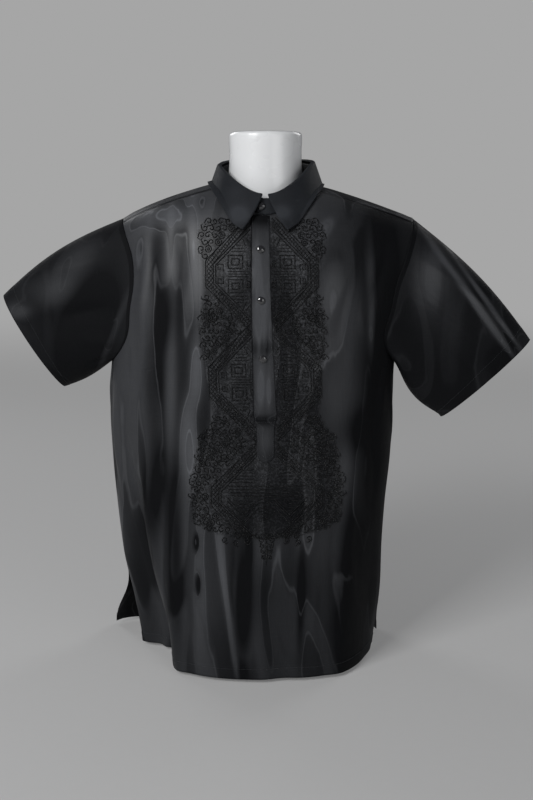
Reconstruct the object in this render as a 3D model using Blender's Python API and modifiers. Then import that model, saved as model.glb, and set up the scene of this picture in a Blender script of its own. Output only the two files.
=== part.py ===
"""A barong tagalog with short sleeves and a half placket, filled out on a limbless dress form.

Frame: metres, +Z up, the flat base of the form on Z = 0. The front of the shirt faces -Y and the
wearer's left is at +X. Every piece of cloth is a thin wall on one worked-out body surface. A place on
that surface is given by "across", from -1 at the wearer's right edge to +1 at the left edge, and by a
height, or above the underarm by "reach": -1 at the front of the chest, 0 on the shoulder ridge and +1
at the back.
"""

from collections import namedtuple
from math import atan2, cos, exp, pi, radians, sin, sqrt

import bpy
from mathutils import Matrix, Vector

NAME = "barong_tagalog_on_form"

# Cloth and clearances
CLOTH = 0.0012  # wall of the body and sleeve cloth
COLLAR_CLOTH = 0.0015  # wall of the stiffened collar and placket
SEAM = 0.0005  # gap between two pieces sewn together
PLACKET_LIFT = 0.0009  # gap between the placket and the front under it
SIDE_TRIM = 0.0009  # how far, in "across", a panel stops short of its side seams
SEAM_TRIM = 0.0010  # how far, in rise, a panel stops short of the yoke and the neck seam
YOKE_TRIM = 0.0045  # how far, in reach, the yoke stops short of the front

# Where the body's own centre line stands, so that the outline's middle is over the origin
MIDDLE = (-0.0030, 0.0176, 0.0)

# Heights and widths of the body
HEM = 0.006
SLIT_TOP = 0.165
UNDERARM = 0.4775
SIDE_NECK = 0.752  # height of the shoulder ridge where it meets the collar
SIDE_NECK_X = 0.073
SHOULDER_SLOPE = 0.28
SHOULDER_ROUND = 0.35  # extra fall of the ridge, growing with the square of the distance
RIGHT_LIFT = 0.006  # the wearer's right shoulder stands this much higher beside the collar
ARMHOLE_ANGLE = radians(58)  # how far round the body the armhole seam lies
ARMHOLE_FLOOR = 0.0675  # height over which the armhole curves in from the side seam
SLIT_ANGLES = {"front": radians(82), "back": radians(72)}  # how far round each reaches at the hem
FRONT_SEAM = -0.31  # reach of the yoke's front seam
BACK_SEAM_RISE = 0.66  # share of the way from underarm to ridge of the yoke's back seam
CHEST_RISE_POWER = 3.0
CHEST_REACH_POWER = 2.2
BACK_REACH_POWER = 6.0  # squarer than the chest beside the neck
BACK_EDGE_POWER = 2.4  # and as round as the chest at the armhole

# Neck opening, seen from above
NECK_X = 0.004
NECK_Y = -0.004
NECK_RADIUS_X = 0.074
NECK_RADIUS_Y = 0.074

Level = namedtuple("Level", "height half_width front_depth back_depth squareness shift")
BODY = (
    Level(0.000, 0.209, 0.160, 0.118, 2.2, -0.008),
    Level(0.090, 0.208, 0.152, 0.118, 2.3, -0.013),
    Level(0.165, 0.2125, 0.145, 0.118, 2.4, -0.019),
    Level(0.250, 0.2185, 0.137, 0.117, 2.5, -0.021),
    Level(0.330, 0.2245, 0.130, 0.116, 2.5, -0.020),
    Level(0.430, 0.2267, 0.122, 0.115, 2.5, -0.020),
    Level(0.4775, 0.225, 0.119, 0.114, 2.5, -0.017),
    Level(0.520, 0.228, 0.118, 0.114, 2.4, -0.012),
    Level(0.565, 0.2343, 0.118, 0.114, 2.4, -0.004),
    Level(0.605, 0.2355, 0.118, 0.114, 2.4, 0.003),
    Level(0.645, 0.245, 0.118, 0.113, 2.4, 0.009),
    Level(0.700, 0.2634, 0.118, 0.112, 2.4, 0.007),
    Level(0.760, 0.2634, 0.118, 0.112, 2.4, 0.007),
)

# Large soft folds. "foot" and "head" say where across the panel a fold is at "low" and "high"; a fold
# whose foot is at or below the hem keeps its full depth there. Depth is outward; a trough is negative.
FRONT_FOLD_SIDEWAYS = 0.4  # the front's folds push mostly forward and back
SEAM_HOLD = 0.28  # share of the panel beside a seam over which folds die away
FOLD_FULL = 1.35  # a fold from the hem is at its full depth up to the height where this is used up
Fold = namedtuple("Fold", "panel foot head low high width depth")
FOLDS = (
    Fold("front", -0.80, -0.74, -0.20, 0.420, 0.240, -0.084),
    Fold("front", -0.60, -0.62, -0.20, 0.440, 0.070, -0.030),
    Fold("front", -0.44, -0.52, -0.10, 0.470, 0.060, 0.010),
    Fold("front", 0.74, 0.70, -0.15, 0.340, 0.120, -0.014),
    Fold("front", 1.00, 0.96, -0.20, 0.200, 0.200, -0.066),
    Fold("front", 0.46, 0.48, -0.10, 0.400, 0.080, 0.006),
    Fold("front", 0.12, 0.20, -0.10, 0.300, 0.080, -0.005),
    Fold("front", -0.62, -0.50, 0.480, 0.660, 0.090, -0.007),
    Fold("front", 0.62, 0.52, 0.480, 0.660, 0.090, -0.007),
    Fold("back", -1.00, -1.00, -0.05, 0.165, 0.240, 0.058),
    Fold("back", 0.80, 0.80, -0.15, 0.200, 0.160, 0.010),
    Fold("back", -0.52, -0.46, -0.10, 0.520, 0.090, -0.012),
    Fold("back", 0.50, 0.44, -0.10, 0.500, 0.090, -0.012),
    Fold("back", -0.16, -0.20, -0.10, 0.420, 0.090, 0.008),
    Fold("back", 0.18, 0.20, -0.10, 0.440, 0.100, 0.008),
)

# Rows of points, as shares of the way up
FRONT_BODY_ROWS = 10
FRONT_CHEST_RISES = (0.006, 0.024, 0.055, 0.11, 0.20, 0.34, 0.50, 0.65, 0.78, 0.89, 1.0)
BACK_BODY_ROWS = 8
BACK_CHEST_RISES = (0.009, 0.036, 0.083, 0.166, 0.30, 0.54, 0.78, 1.0)
NECK_COLUMNS = 8
SIDE_COLUMNS = 10
BACK_COLUMNS = 26
YOKE_ARM_STEPS = 10
YOKE_NECK_STEPS = 5

# Sleeves: the two ends of the flattened cuff, as the arm opening hangs
Cuff = namedtuple("Cuff", "top_x top_z low_x low_z y half_thickness")
CUFFS = {
    "sleeve_right": Cuff(-0.4168, 0.5744, -0.3264, 0.4311, 0.030, 0.039),
    "sleeve_left": Cuff(0.4222, 0.5074, 0.2871, 0.3844, 0.015, 0.029),
}
SLEEVE_ROWS = (0.0, 0.05, 0.16, 0.32, 0.48, 0.64, 0.80, 0.92, 1.0)
SLEEVE_START = 0.0006  # gap between the armhole and the sleeve
SleeveFold = namedtuple("SleeveFold", "sleeve around start end width depth")
SLEEVE_FOLDS = (
    SleeveFold("sleeve_right", 0.50, 0.00, 1.10, 0.10, 0.016),
    SleeveFold("sleeve_right", 0.00, 0.00, 1.10, 0.08, 0.006),
    SleeveFold("sleeve_right", 0.27, 0.10, 1.00, 0.08, -0.007),
    SleeveFold("sleeve_right", 0.76, 0.10, 1.00, 0.09, -0.007),
    SleeveFold("sleeve_left", 0.50, 0.00, 1.10, 0.10, 0.014),
    SleeveFold("sleeve_left", 0.02, 0.05, 0.95, 0.10, 0.012),
    SleeveFold("sleeve_left", 0.30, 0.05, 1.00, 0.08, -0.006),
    SleeveFold("sleeve_left", 0.74, 0.10, 1.00, 0.09, -0.006),
)

# Collar
STAND_BACK = 0.036
STAND_FRONT = 0.024
STAND_LEAN = 0.003  # how far the stand closes in towards its top
STAND_LAP = radians(10)
STAND_SPIRAL = 0.0024  # the under end lies this far inside the over end
STAND_STEPS = 44
STAND_ROWS = (0.0, 0.5, 1.0)
FALL_STEPS = 40
FALL_ROWS = (-0.92, -0.66, -0.33, 0.0, 0.22, 0.46, 0.72, 1.0)  # below 0 is the turn over the stand
FALL_FRONT = radians(3.5)
FALL_SPREAD = radians(16)  # how far round the points lie from the front edges' top
FALL_BACK_LENGTH = 0.042
FALL_POINT_LENGTH = 0.066
FALL_POINT_REACH = 0.62 * pi  # the leaf grows longer from this far round to its points
FALL_POINT_POWER = 1.5
FALL_SLOPE = radians(66)  # how steeply the leaf hangs behind and in front
FALL_SIDE_SLOPE = radians(4)  # how much steeper it hangs over the shoulders
FALL_FOLD_RADIUS = 0.0024
FALL_FOLD_LIFT = 0.0004  # gap between the fold and the top of the stand
FALL_FOLD_IN = 0.6  # of the fold's radius: where its curve starts outside the stand
FALL_FOLD_OUT = 1.6  # and where the leaf leaves it
FALL_FOLD_DROP = 0.1
FALL_CLEAR = 0.0030  # least height of the collar over the shoulder under it
FALL_SIDE_DROP = 0.008  # the wearer's right side of the collar sits this much lower

# Placket, a table of half widths down its length
PlacketRow = namedtuple("PlacketRow", "height half_width centre")
PLACKET = (
    PlacketRow(0.704, 0.0136, -0.0032),
    PlacketRow(0.586, 0.0146, -0.0016),
    PlacketRow(0.435, 0.0168, 0.0038),
    PlacketRow(0.408, 0.0170, 0.0050),
    PlacketRow(0.398, 0.0134, 0.0054),
    PlacketRow(0.356, 0.0130, 0.0060),
)
PLACKET_END = 0.0130  # radius of the rounded end
PLACKET_STEPS = 22
PLACKET_END_TURNS = (radians(30), radians(55), radians(72))  # rows round the end
PLACKET_COLUMNS = (-1, -0.5, 0, 0.5, 1)

# Buttons
BUTTON_RADIUS = 0.0056
BUTTON_THICK = 0.0034
BUTTON_GAP = 0.0004
BUTTON_SIDES = 20
BUTTON_RIM = 0.3  # the bevelled rim, as a share of the thickness
BUTTON_SHARP = radians(40)
BUTTON_HEIGHTS = (0.6593, 0.5859, 0.4992)
COLLAR_BUTTON_SHARE = 0.50  # of the way up the stand
COLLAR_BUTTON_ANGLE = -radians(5)

# Dress form
FormRing = namedtuple("FormRing", "height half_width half_depth centre_y squareness")
FORM = (
    FormRing(0.000, 0.1480, 0.0980, 0.000, 2.3),
    FormRing(0.004, 0.1510, 0.1010, 0.000, 2.3),
    FormRing(0.090, 0.1600, 0.1040, -0.002, 2.3),
    FormRing(0.230, 0.1500, 0.0940, -0.002, 2.3),
    FormRing(0.350, 0.1580, 0.0960, 0.000, 2.3),
    FormRing(0.460, 0.1700, 0.1000, 0.001, 2.3),
    FormRing(0.560, 0.1760, 0.0980, 0.002, 2.3),
    FormRing(0.620, 0.1750, 0.0900, 0.002, 2.2),
    FormRing(0.665, 0.1640, 0.0780, 0.002, 2.1),
    FormRing(0.695, 0.1320, 0.0660, 0.002, 2.0),
    FormRing(0.716, 0.0980, 0.0580, 0.002, 2.0),
    FormRing(0.738, 0.0690, 0.0550, 0.001, 2.0),
    FormRing(0.765, 0.0580, 0.0550, 0.000, 2.0),
    FormRing(0.800, 0.0555, 0.0550, 0.000, 2.0),
    FormRing(0.826, 0.0560, 0.0556, 0.000, 2.0),
    FormRing(0.831, 0.0530, 0.0526, 0.000, 2.0),
    FormRing(0.832, 0.0480, 0.0476, 0.000, 2.0),
)
FORM_ROWS = 20
FORM_ROW_LOW = 0.02
FORM_ROW_HIGH = 0.82
FORM_LEAST_ROW = 0.0009  # rows nearer than this are one
FORM_SIDES = 36
FORM_NECK_X = 0.003  # the neck stands this far to the wearer's left
FORM_BODY_X = -0.006
FORM_LEAN_LOW = 0.60  # height at which the middle starts to move from one to the other
FORM_LEAN_RISE = 0.14

# How finely the surface is searched and measured
SEARCH_STEPS = 30
SETTLE_STEPS = 8
NEAR = 0.002

Finish = namedtuple("Finish", "colour roughness metallic")
FINISHES = {
    "shirt_cloth": Finish((0.013, 0.014, 0.017), 0.42, 0.0),
    "collar_cloth": Finish((0.016, 0.017, 0.020), 0.55, 0.0),
    "button": Finish((0.012, 0.012, 0.014), 0.15, 0.0),
    "form_white": Finish((0.86, 0.87, 0.88), 0.18, 0.0),
}


# Tables and curves


def between(rows, height):
    """The row of a table at a height, each column on a smooth curve through its neighbours."""
    last = len(rows) - 1
    if height <= rows[0].height:
        return rows[0]
    if height >= rows[last].height:
        return rows[last]
    i = max(n for n in range(last) if rows[n].height <= height)
    low, high = rows[i], rows[i + 1]
    before, after = rows[max(i - 1, 0)], rows[min(i + 2, last)]
    span = high.height - low.height
    t = (height - low.height) / span
    values = []
    for a, b, c, d in zip(before, low, high, after):
        slope_b = (c - a) / (high.height - before.height) * span
        slope_c = (d - b) / (after.height - low.height) * span
        values.append(
            (2 * t**3 - 3 * t**2 + 1) * b
            + (t**3 - 2 * t**2 + t) * slope_b
            + (3 * t**2 - 2 * t**3) * c
            + (t**3 - t**2) * slope_c
        )
    return type(low)(*values)


def smooth(t):
    """A soft step from 0 to 1."""
    t = min(max(t, 0.0), 1.0)
    return t * t * (3 - 2 * t)


def lame(share, squareness):
    """How deep a rounded box is, of 1, at a share of its half width."""
    return sqrt(max(0.0, 1 - min(abs(share), 1.0) ** squareness))


def spread(start, end, steps):
    """Evenly spaced values, both ends included."""
    return [start + (end - start) * i / steps for i in range(steps + 1)]


# The body surface


def edge_angle(height, panel):
    """How far round the body a panel reaches: to the side seam, the slit or the armhole."""
    if height < SLIT_TOP:
        angle = SLIT_ANGLES[panel]
        return angle + (pi / 2 - angle) * smooth(height / SLIT_TOP)
    if height <= UNDERARM:
        return pi / 2
    k = min((height - UNDERARM) / ARMHOLE_FLOOR, 1.0)
    return pi / 2 - (pi / 2 - ARMHOLE_ANGLE) * sqrt(1 - (1 - k) ** 2)


def ridge(across):
    """The height of the shoulder ridge."""
    top = BODY[-1]
    x = top.half_width * sin(abs(across) * ARMHOLE_ANGLE)
    out = max(0.0, x - SIDE_NECK_X)
    lift = RIGHT_LIFT * sin(pi * abs(across)) if across < 0 else 0.0
    return SIDE_NECK + lift - SHOULDER_SLOPE * out - SHOULDER_ROUND * out * out


def reach_power(across, reach):
    """How square the arch over the shoulder is, front or back."""
    if reach < 0:
        return CHEST_REACH_POWER
    return BACK_REACH_POWER - (BACK_REACH_POWER - BACK_EDGE_POWER) * abs(across)


def rise_of(across, reach):
    """The share of the way from the underarm to the ridge, from the reach."""
    return (1 - min(abs(reach), 1.0) ** reach_power(across, reach)) ** (1 / CHEST_RISE_POWER)


def reach_of(across, rise, side):
    """The reach, from the share of the way up; side is -1 for the front and 1 for the back."""
    return side * (1 - min(rise, 1.0) ** CHEST_RISE_POWER) ** (1 / reach_power(across, side))


def fold_depth(panel, across, height):
    """The outward push of the large folds at one place."""
    total = 0.0
    for fold in FOLDS:
        if fold.panel != panel:
            continue
        t = (height - fold.low) / (fold.high - fold.low)
        if t <= 0 or t >= 1:
            continue
        middle = fold.foot + (fold.head - fold.foot) * t
        strength = sin(pi * t) if fold.low > HEM else smooth(FOLD_FULL * (1 - t))
        total += fold.depth * strength * exp(-(((across - middle) / fold.width) ** 2))
    held = smooth(height / SLIT_TOP) * (1 - smooth((1 - abs(across)) / SEAM_HOLD))
    return total * (1 - held)


def flat_point(across, height, reach, panel):
    """A place on the body surface with no folds."""
    level = between(BODY, height)
    share = sin(across * edge_angle(height, panel))
    depth = level.front_depth if panel == "front" else level.back_depth
    x = level.shift + level.half_width * share
    return Vector((x, reach * depth * lame(share, level.squareness), height))


def body_point(across, climb, panel):
    """A place on a panel: climb is a height up to the underarm, then UNDERARM plus a rise of 0 to 1."""
    side = -1 if panel == "front" else 1
    if climb <= UNDERARM:
        return flat_point(across, climb, side, panel)
    rise = climb - UNDERARM
    height = UNDERARM + rise * (ridge(across) - UNDERARM)
    return flat_point(across, height, reach_of(across, rise, side), panel)


def body_normal(across, climb, panel):
    """The outward normal of a panel, from its neighbours on the surface."""
    left = body_point(max(across - NEAR, -1.0), climb, panel)
    right = body_point(min(across + NEAR, 1.0), climb, panel)
    low = body_point(across, max(climb - NEAR, 0.0), panel)
    high = body_point(across, min(climb + NEAR, UNDERARM + 1.0), panel)
    normal = (right - left).cross(high - low)
    return normal.normalized() * (1 if panel == "front" else -1)


def cloth_point(across, climb, panel):
    """A place on the outer face of a panel, folds and all."""
    place = body_point(across, climb, panel)
    push = fold_depth(panel, across, place.z)
    normal = body_normal(across, climb, panel)
    sideways = FRONT_FOLD_SIDEWAYS if panel == "front" else 1.0
    return place + Vector((normal.x * sideways, normal.y, 0)) * push


def shoulder_point(across, reach):
    """A place on the yoke, front or back of the ridge."""
    panel = "front" if reach < 0 else "back"
    height = UNDERARM + rise_of(across, reach) * (ridge(across) - UNDERARM)
    return flat_point(across, height, reach, panel)


def shoulder_place(x, y):
    """The across and reach of the yoke surface over a point seen from above."""
    across, reach, height = 0.0, 0.0, SIDE_NECK
    for _ in range(SETTLE_STEPS):
        level = between(BODY, height)
        panel = "front" if y < 0 else "back"
        share = (x - level.shift) / level.half_width
        across = atan2(share, sqrt(max(0.0, 1 - share * share))) / edge_angle(height, panel)
        depth = level.front_depth if y < 0 else level.back_depth
        reach = max(-1.0, min(1.0, y / (depth * lame(share, level.squareness))))
        height = UNDERARM + rise_of(across, reach) * (ridge(across) - UNDERARM)
    return across, reach


def neck_plan(angle, grow=0.0):
    """A point of the neck opening from above; angle 0 is the front, +90 degrees the wearer's left."""
    x = NECK_X + (NECK_RADIUS_X + grow) * sin(angle)
    y = NECK_Y - (NECK_RADIUS_Y + grow) * cos(angle)
    return x, y


def neckline(angle):
    """The height of the neck seam at an angle round the neck."""
    return shoulder_point(*shoulder_place(*neck_plan(angle))).z


def neck_corner(side):
    """The angle round the neck where the yoke's front seam starts."""
    low, high = 0.0, pi / 2
    for _ in range(SEARCH_STEPS):
        middle = (low + high) / 2
        if shoulder_place(*neck_plan(side * middle))[1] < FRONT_SEAM:
            low = middle
        else:
            high = middle
    return side * middle


def front_place(x, height):
    """Across and climb of the front at a given x and height."""
    level = between(BODY, height)
    share = (x - level.shift) / level.half_width
    across = atan2(share, sqrt(max(0.0, 1 - share * share))) / edge_angle(height, "front")
    if height <= UNDERARM:
        return across, height
    return across, UNDERARM + (height - UNDERARM) / (ridge(across) - UNDERARM)


def on_front(x, height, proud):
    """A point a little proud of the front."""
    across, climb = front_place(x, height)
    return cloth_point(across, climb, "front") + body_normal(across, climb, "front") * proud


# Making objects


def material(slot):
    """One Principled material for each finish."""
    finish = FINISHES[slot]
    made = bpy.data.materials.get(slot) or bpy.data.materials.new(slot)
    made.use_nodes = True
    shader = made.node_tree.nodes["Principled BSDF"]
    shader.inputs["Base Color"].default_value = (*finish.colour, 1)
    shader.inputs["Roughness"].default_value = finish.roughness
    shader.inputs["Metallic"].default_value = finish.metallic
    return made


def new_object(name, points, faces, slot, collection):
    """A smooth-shaded mesh object in the shirt's collection."""
    mesh = bpy.data.meshes.new(name)
    mesh.from_pydata([tuple(p) for p in points], [], faces)
    mesh.materials.append(material(slot))
    mesh.shade_smooth()
    made = bpy.data.objects.new(name, mesh)
    collection.objects.link(made)
    return made


def grid_faces(rows, columns, closed=False, flip=False):
    """Quads between rows of equal length; a closed grid joins each row's ends."""
    faces = []
    for r in range(rows - 1):
        for c in range(columns if closed else columns - 1):
            d = (c + 1) % columns
            quad = (r * columns + c, r * columns + d, (r + 1) * columns + d, (r + 1) * columns + c)
            faces.append(quad[::-1] if flip else quad)
    return faces


def wall(name, rows, slot, thickness, collection, closed=False, flip=False):
    """Cloth: an open grid of points on its outer face, thickened inwards."""
    points = [p for row in rows for p in row]
    faces = grid_faces(len(rows), len(rows[0]), closed, flip)
    made = new_object(name, points, faces, slot, collection)
    shell = made.modifiers.new("wall", "SOLIDIFY")
    shell.thickness = thickness
    shell.offset = -1.0
    shell.use_even_offset = False
    return made


# Body panels


def front_columns():
    """Across values of the front, with a column at each end of the neck seam."""
    corners = [shoulder_place(*neck_plan(neck_corner(side)))[0] for side in (-1, 1)]
    left = spread(-1 + SIDE_TRIM, corners[0], SIDE_COLUMNS)
    middle = spread(corners[0], corners[1], NECK_COLUMNS)[1:-1]
    return left + middle + spread(corners[1], 1 - SIDE_TRIM, SIDE_COLUMNS)


def front_top_rise(across):
    """How high the front reaches: the yoke seam, or the neck seam between its ends."""
    seam = rise_of(across, FRONT_SEAM) - SEAM_TRIM
    corners = [neck_corner(side) for side in (-1, 1)]
    ends = [shoulder_place(*neck_plan(a))[0] for a in corners]
    if not ends[0] < across < ends[1]:
        return seam
    low, high = corners
    for _ in range(SEARCH_STEPS):
        middle = (low + high) / 2
        if shoulder_place(*neck_plan(middle))[0] < across:
            low = middle
        else:
            high = middle
    place = shoulder_place(*neck_plan(middle))
    return rise_of(*place) - SEAM_TRIM


def build_front(collection):
    """The one-piece front, from side seam to side seam."""
    columns = front_columns()
    tops = [front_top_rise(a) for a in columns]
    rows = []
    for height in spread(HEM, UNDERARM, FRONT_BODY_ROWS):
        rows.append([cloth_point(a, height, "front") for a in columns])
    for share in FRONT_CHEST_RISES:
        rows.append([cloth_point(a, UNDERARM + share * t, "front") for a, t in zip(columns, tops)])
    return wall("front", rows, "shirt_cloth", CLOTH, collection)


def build_back(collection):
    """The back below the yoke."""
    columns = spread(-1 + SIDE_TRIM, 1 - SIDE_TRIM, BACK_COLUMNS)
    rows = []
    for height in spread(HEM, UNDERARM, BACK_BODY_ROWS):
        rows.append([cloth_point(a, height, "back") for a in columns])
    for share in BACK_CHEST_RISES:
        climb = UNDERARM + share * (BACK_SEAM_RISE - SEAM_TRIM)
        rows.append([cloth_point(a, climb, "back") for a in columns])
    return wall("back", rows, "shirt_cloth", CLOTH, collection, flip=True)


def yoke_rim():
    """The yoke's outer edge as (across, reach): armhole, back seam, armhole."""
    rise = BACK_SEAM_RISE + SEAM_TRIM
    arm = spread(FRONT_SEAM + YOKE_TRIM, reach_of(1.0, rise, 1), YOKE_ARM_STEPS)
    rim = [(-1 + SIDE_TRIM, reach) for reach in arm]
    for across in spread(-1 + SIDE_TRIM, 1 - SIDE_TRIM, BACK_COLUMNS)[1:-1]:
        rim.append((across, reach_of(across, rise, 1)))
    return rim + [(1 - SIDE_TRIM, reach) for reach in reversed(arm)]


def build_yoke(collection):
    """The yoke, a horseshoe round the neck from one front seam to the other."""
    rim = yoke_rim()
    start, end = neck_corner(-1), neck_corner(1)
    first = FRONT_SEAM + YOKE_TRIM
    rows = []
    for i, outer in enumerate(rim):
        turn = i / (len(rim) - 1)
        angle = start - (2 * pi - (end - start)) * turn
        inner = shoulder_place(*neck_plan(angle))
        if i in (0, len(rim) - 1):
            inner = (inner[0], first)
        row = []
        for share in spread(0, 1, YOKE_NECK_STEPS):
            across = inner[0] + (outer[0] - inner[0]) * share
            reach = inner[1] + (outer[1] - inner[1]) * share
            row.append(shoulder_point(across, reach))
        rows.append(row)
    return wall("yoke", rows, "shirt_cloth", CLOTH, collection, flip=True)


# Sleeves


def armhole(side):
    """The armhole seam from the underarm up the front, over the ridge and down the back."""
    points = [body_point(side, UNDERARM, "front")]
    top = rise_of(side, FRONT_SEAM)
    points += [body_point(side, UNDERARM + share * top, "front") for share in FRONT_CHEST_RISES]
    back = reach_of(1.0, BACK_SEAM_RISE, 1)
    points += [shoulder_point(side, r) for r in spread(FRONT_SEAM, back, YOKE_ARM_STEPS)[1:]]
    for share in reversed(BACK_CHEST_RISES[:-1]):
        points.append(body_point(side, UNDERARM + share * BACK_SEAM_RISE, "back"))
    return points


def shares_along(points):
    """How far along a closed line each point is, from 0 to below 1."""
    lengths = [(points[(i + 1) % len(points)] - p).length for i, p in enumerate(points)]
    total = sum(lengths)
    return [sum(lengths[:i]) / total for i in range(len(points))]


def cuff_ring(cuff, shares):
    """The flattened open end of a sleeve, from its lowest point round the front."""
    top = Vector((cuff.top_x, cuff.y, cuff.top_z))
    low = Vector((cuff.low_x, cuff.y, cuff.low_z))
    centre, half = (top + low) / 2, (top - low) / 2
    ring = []
    for share in shares:
        turn = 2 * pi * share
        forward = Vector((0, -cuff.half_thickness * sin(turn), 0))
        ring.append(centre - half * cos(turn) + forward)
    return ring


def sleeve_push(name, around, along):
    """The outward push of a sleeve's folds."""
    total = 0.0
    for fold in SLEEVE_FOLDS:
        if fold.sleeve != name or not fold.start < along < fold.end:
            continue
        apart = abs(around - fold.around)
        apart = min(apart, 1 - apart)
        strength = sin(pi * (along - fold.start) / (fold.end - fold.start))
        total += fold.depth * strength * exp(-((apart / fold.width) ** 2))
    return total


def sleeve_rows(name, side):
    """Rings of points from the armhole to the cuff."""
    start = armhole(side)
    shares = shares_along(start)
    end = cuff_ring(CUFFS[name], shares)
    centre_start = sum(start, Vector()) / len(start)
    centre_end = sum(end, Vector()) / len(end)
    axis = (centre_end - centre_start).normalized()
    rows = []
    for along in SLEEVE_ROWS:
        centre = centre_start.lerp(centre_end, along)
        row = []
        for a, b, around in zip(start, end, shares):
            place = a.lerp(b, along)
            if along == 0:
                place = a + Vector((side * SLEEVE_START, 0, 0))
            out = place - centre
            out -= axis * out.dot(axis)
            row.append(place + out.normalized() * sleeve_push(name, around, along))
        rows.append(row)
    return rows


def build_sleeve(name, side, collection):
    """One short sleeve, open at both ends."""
    rows = sleeve_rows(name, side)
    return wall(name, rows, "shirt_cloth", CLOTH, collection, closed=True, flip=side > 0)


# Collar


def stand_height(angle):
    """The stand is lower in front than behind."""
    return STAND_FRONT + (STAND_BACK - STAND_FRONT) * smooth(abs(angle) / pi)


def side_drop(angle):
    """The collar sags a little at the wearer's right."""
    return FALL_SIDE_DROP * max(0.0, -sin(angle)) ** 2


def stand_point(angle, up, inward):
    """A place on the stand: up is 0 at the neck seam and 1 at its top."""
    x, y = neck_plan(angle, -SEAM - inward - STAND_LEAN * up)
    low = neckline(angle) + SEAM
    return Vector((x, y, low + (stand_height(angle) - side_drop(angle)) * up))


def build_stand(collection):
    """The band round the neck; its ends lap in front, the wearer's left over the right."""
    turns = spread(-STAND_LAP, 2 * pi + STAND_LAP, STAND_STEPS)
    rows = []
    for up in STAND_ROWS:
        row = []
        for turn in turns:
            angle = turn if turn <= pi else turn - 2 * pi
            inward = STAND_SPIRAL * (turn + STAND_LAP) / (2 * pi + 2 * STAND_LAP)
            row.append(stand_point(angle, up, inward))
        rows.append(row)
    return wall("collar_stand", rows, "collar_cloth", COLLAR_CLOTH, collection)


def fall_length(angle):
    """The collar leaf, from its back to its two points."""
    share = 1 - min(abs(angle) / FALL_POINT_REACH, 1.0)
    return FALL_BACK_LENGTH + (FALL_POINT_LENGTH - FALL_BACK_LENGTH) * share**FALL_POINT_POWER


def fall_slope(angle):
    """How steeply the leaf hangs, a little steeper over the shoulders than behind and in front."""
    return FALL_SLOPE + FALL_SIDE_SLOPE * sin(angle) ** 2


def fall_point(turn, out):
    """A place on the leaf; turn goes from -1 at one front edge to 1 at the other."""
    side = -1 if turn < 0 else 1
    front = FALL_FRONT + FALL_SPREAD * max(out, 0.0)
    angle = side * (pi + (front - pi) * abs(turn))
    top = stand_point(angle, 1.0, 0.0)
    away = Vector((top.x - NECK_X, top.y - NECK_Y, 0)).normalized()
    fold = top + Vector((0, 0, FALL_FOLD_LIFT + FALL_FOLD_RADIUS))
    if out < 0:
        bend = pi * (1 + out)
        across = away * (FALL_FOLD_RADIUS * (FALL_FOLD_IN - cos(bend)))
        return fold + across + Vector((0, 0, FALL_FOLD_RADIUS * (sin(bend) - FALL_FOLD_DROP)))
    slope = fall_slope(angle)
    length = fall_length(angle) * out
    start = fold + away * (FALL_FOLD_RADIUS * FALL_FOLD_OUT)
    place = start + away * (length * cos(slope)) + Vector((0, 0, -length * sin(slope)))
    return lifted(place)


def lifted(place):
    """The same place, raised where the shoulder or chest would otherwise touch it."""
    across, reach = shoulder_place(place.x, place.y)
    under = shoulder_point(across, reach)
    least = under.z + COLLAR_CLOTH + FALL_CLEAR
    if place.z >= least:
        return place
    return Vector((place.x, place.y, least))


def build_fall(collection):
    """The turned-down collar, folded over the top of the stand."""
    rows = []
    for out in FALL_ROWS:
        rows.append([fall_point(turn, out) for turn in spread(1, -1, FALL_STEPS)])
    return wall("collar_fall", rows, "collar_cloth", COLLAR_CLOTH, collection)


# Placket and buttons


def placket_rows():
    """Rows across the placket, narrowing to its rounded end."""
    rows = []
    heights = spread(PLACKET[0].height, PLACKET[-1].height, PLACKET_STEPS)
    heights += [PLACKET[-1].height - PLACKET_END * sin(turn) for turn in PLACKET_END_TURNS]
    for height in heights:
        row = between(PLACKET[::-1], height)
        half = row.half_width
        below = PLACKET[-1].height - height
        if below > 0:
            half = sqrt(PLACKET_END**2 - below**2)
        rows.append((height, row.centre, half))
    return rows


def build_placket(collection):
    """The half placket, lying on the front."""
    proud = PLACKET_LIFT + COLLAR_CLOTH
    rows = []
    for height, centre, half in reversed(placket_rows()):
        rows.append([on_front(centre + half * s, height, proud) for s in PLACKET_COLUMNS])
    return wall("placket", rows, "shirt_cloth", COLLAR_CLOTH, collection)


def build_button(name, place, normal, collection):
    """A small round button with a bevelled rim, facing along a normal."""
    bpy.ops.mesh.primitive_cylinder_add(vertices=BUTTON_SIDES, radius=BUTTON_RADIUS, depth=BUTTON_THICK)
    made = bpy.context.object
    made.name = name
    made.data.name = name
    made.data.materials.append(material("button"))
    for other in list(made.users_collection):
        other.objects.unlink(made)
    collection.objects.link(made)
    rim = made.modifiers.new("rim", "BEVEL")
    rim.width = BUTTON_THICK * BUTTON_RIM
    rim.segments = 2
    rim.limit_method = "ANGLE"
    made.data.set_sharp_from_angle(angle=BUTTON_SHARP)
    turn = Vector((0, 0, 1)).rotation_difference(normal).to_matrix().to_4x4()
    made.matrix_world = Matrix.Translation(place + normal * (BUTTON_GAP + BUTTON_THICK / 2)) @ turn
    return made


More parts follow.
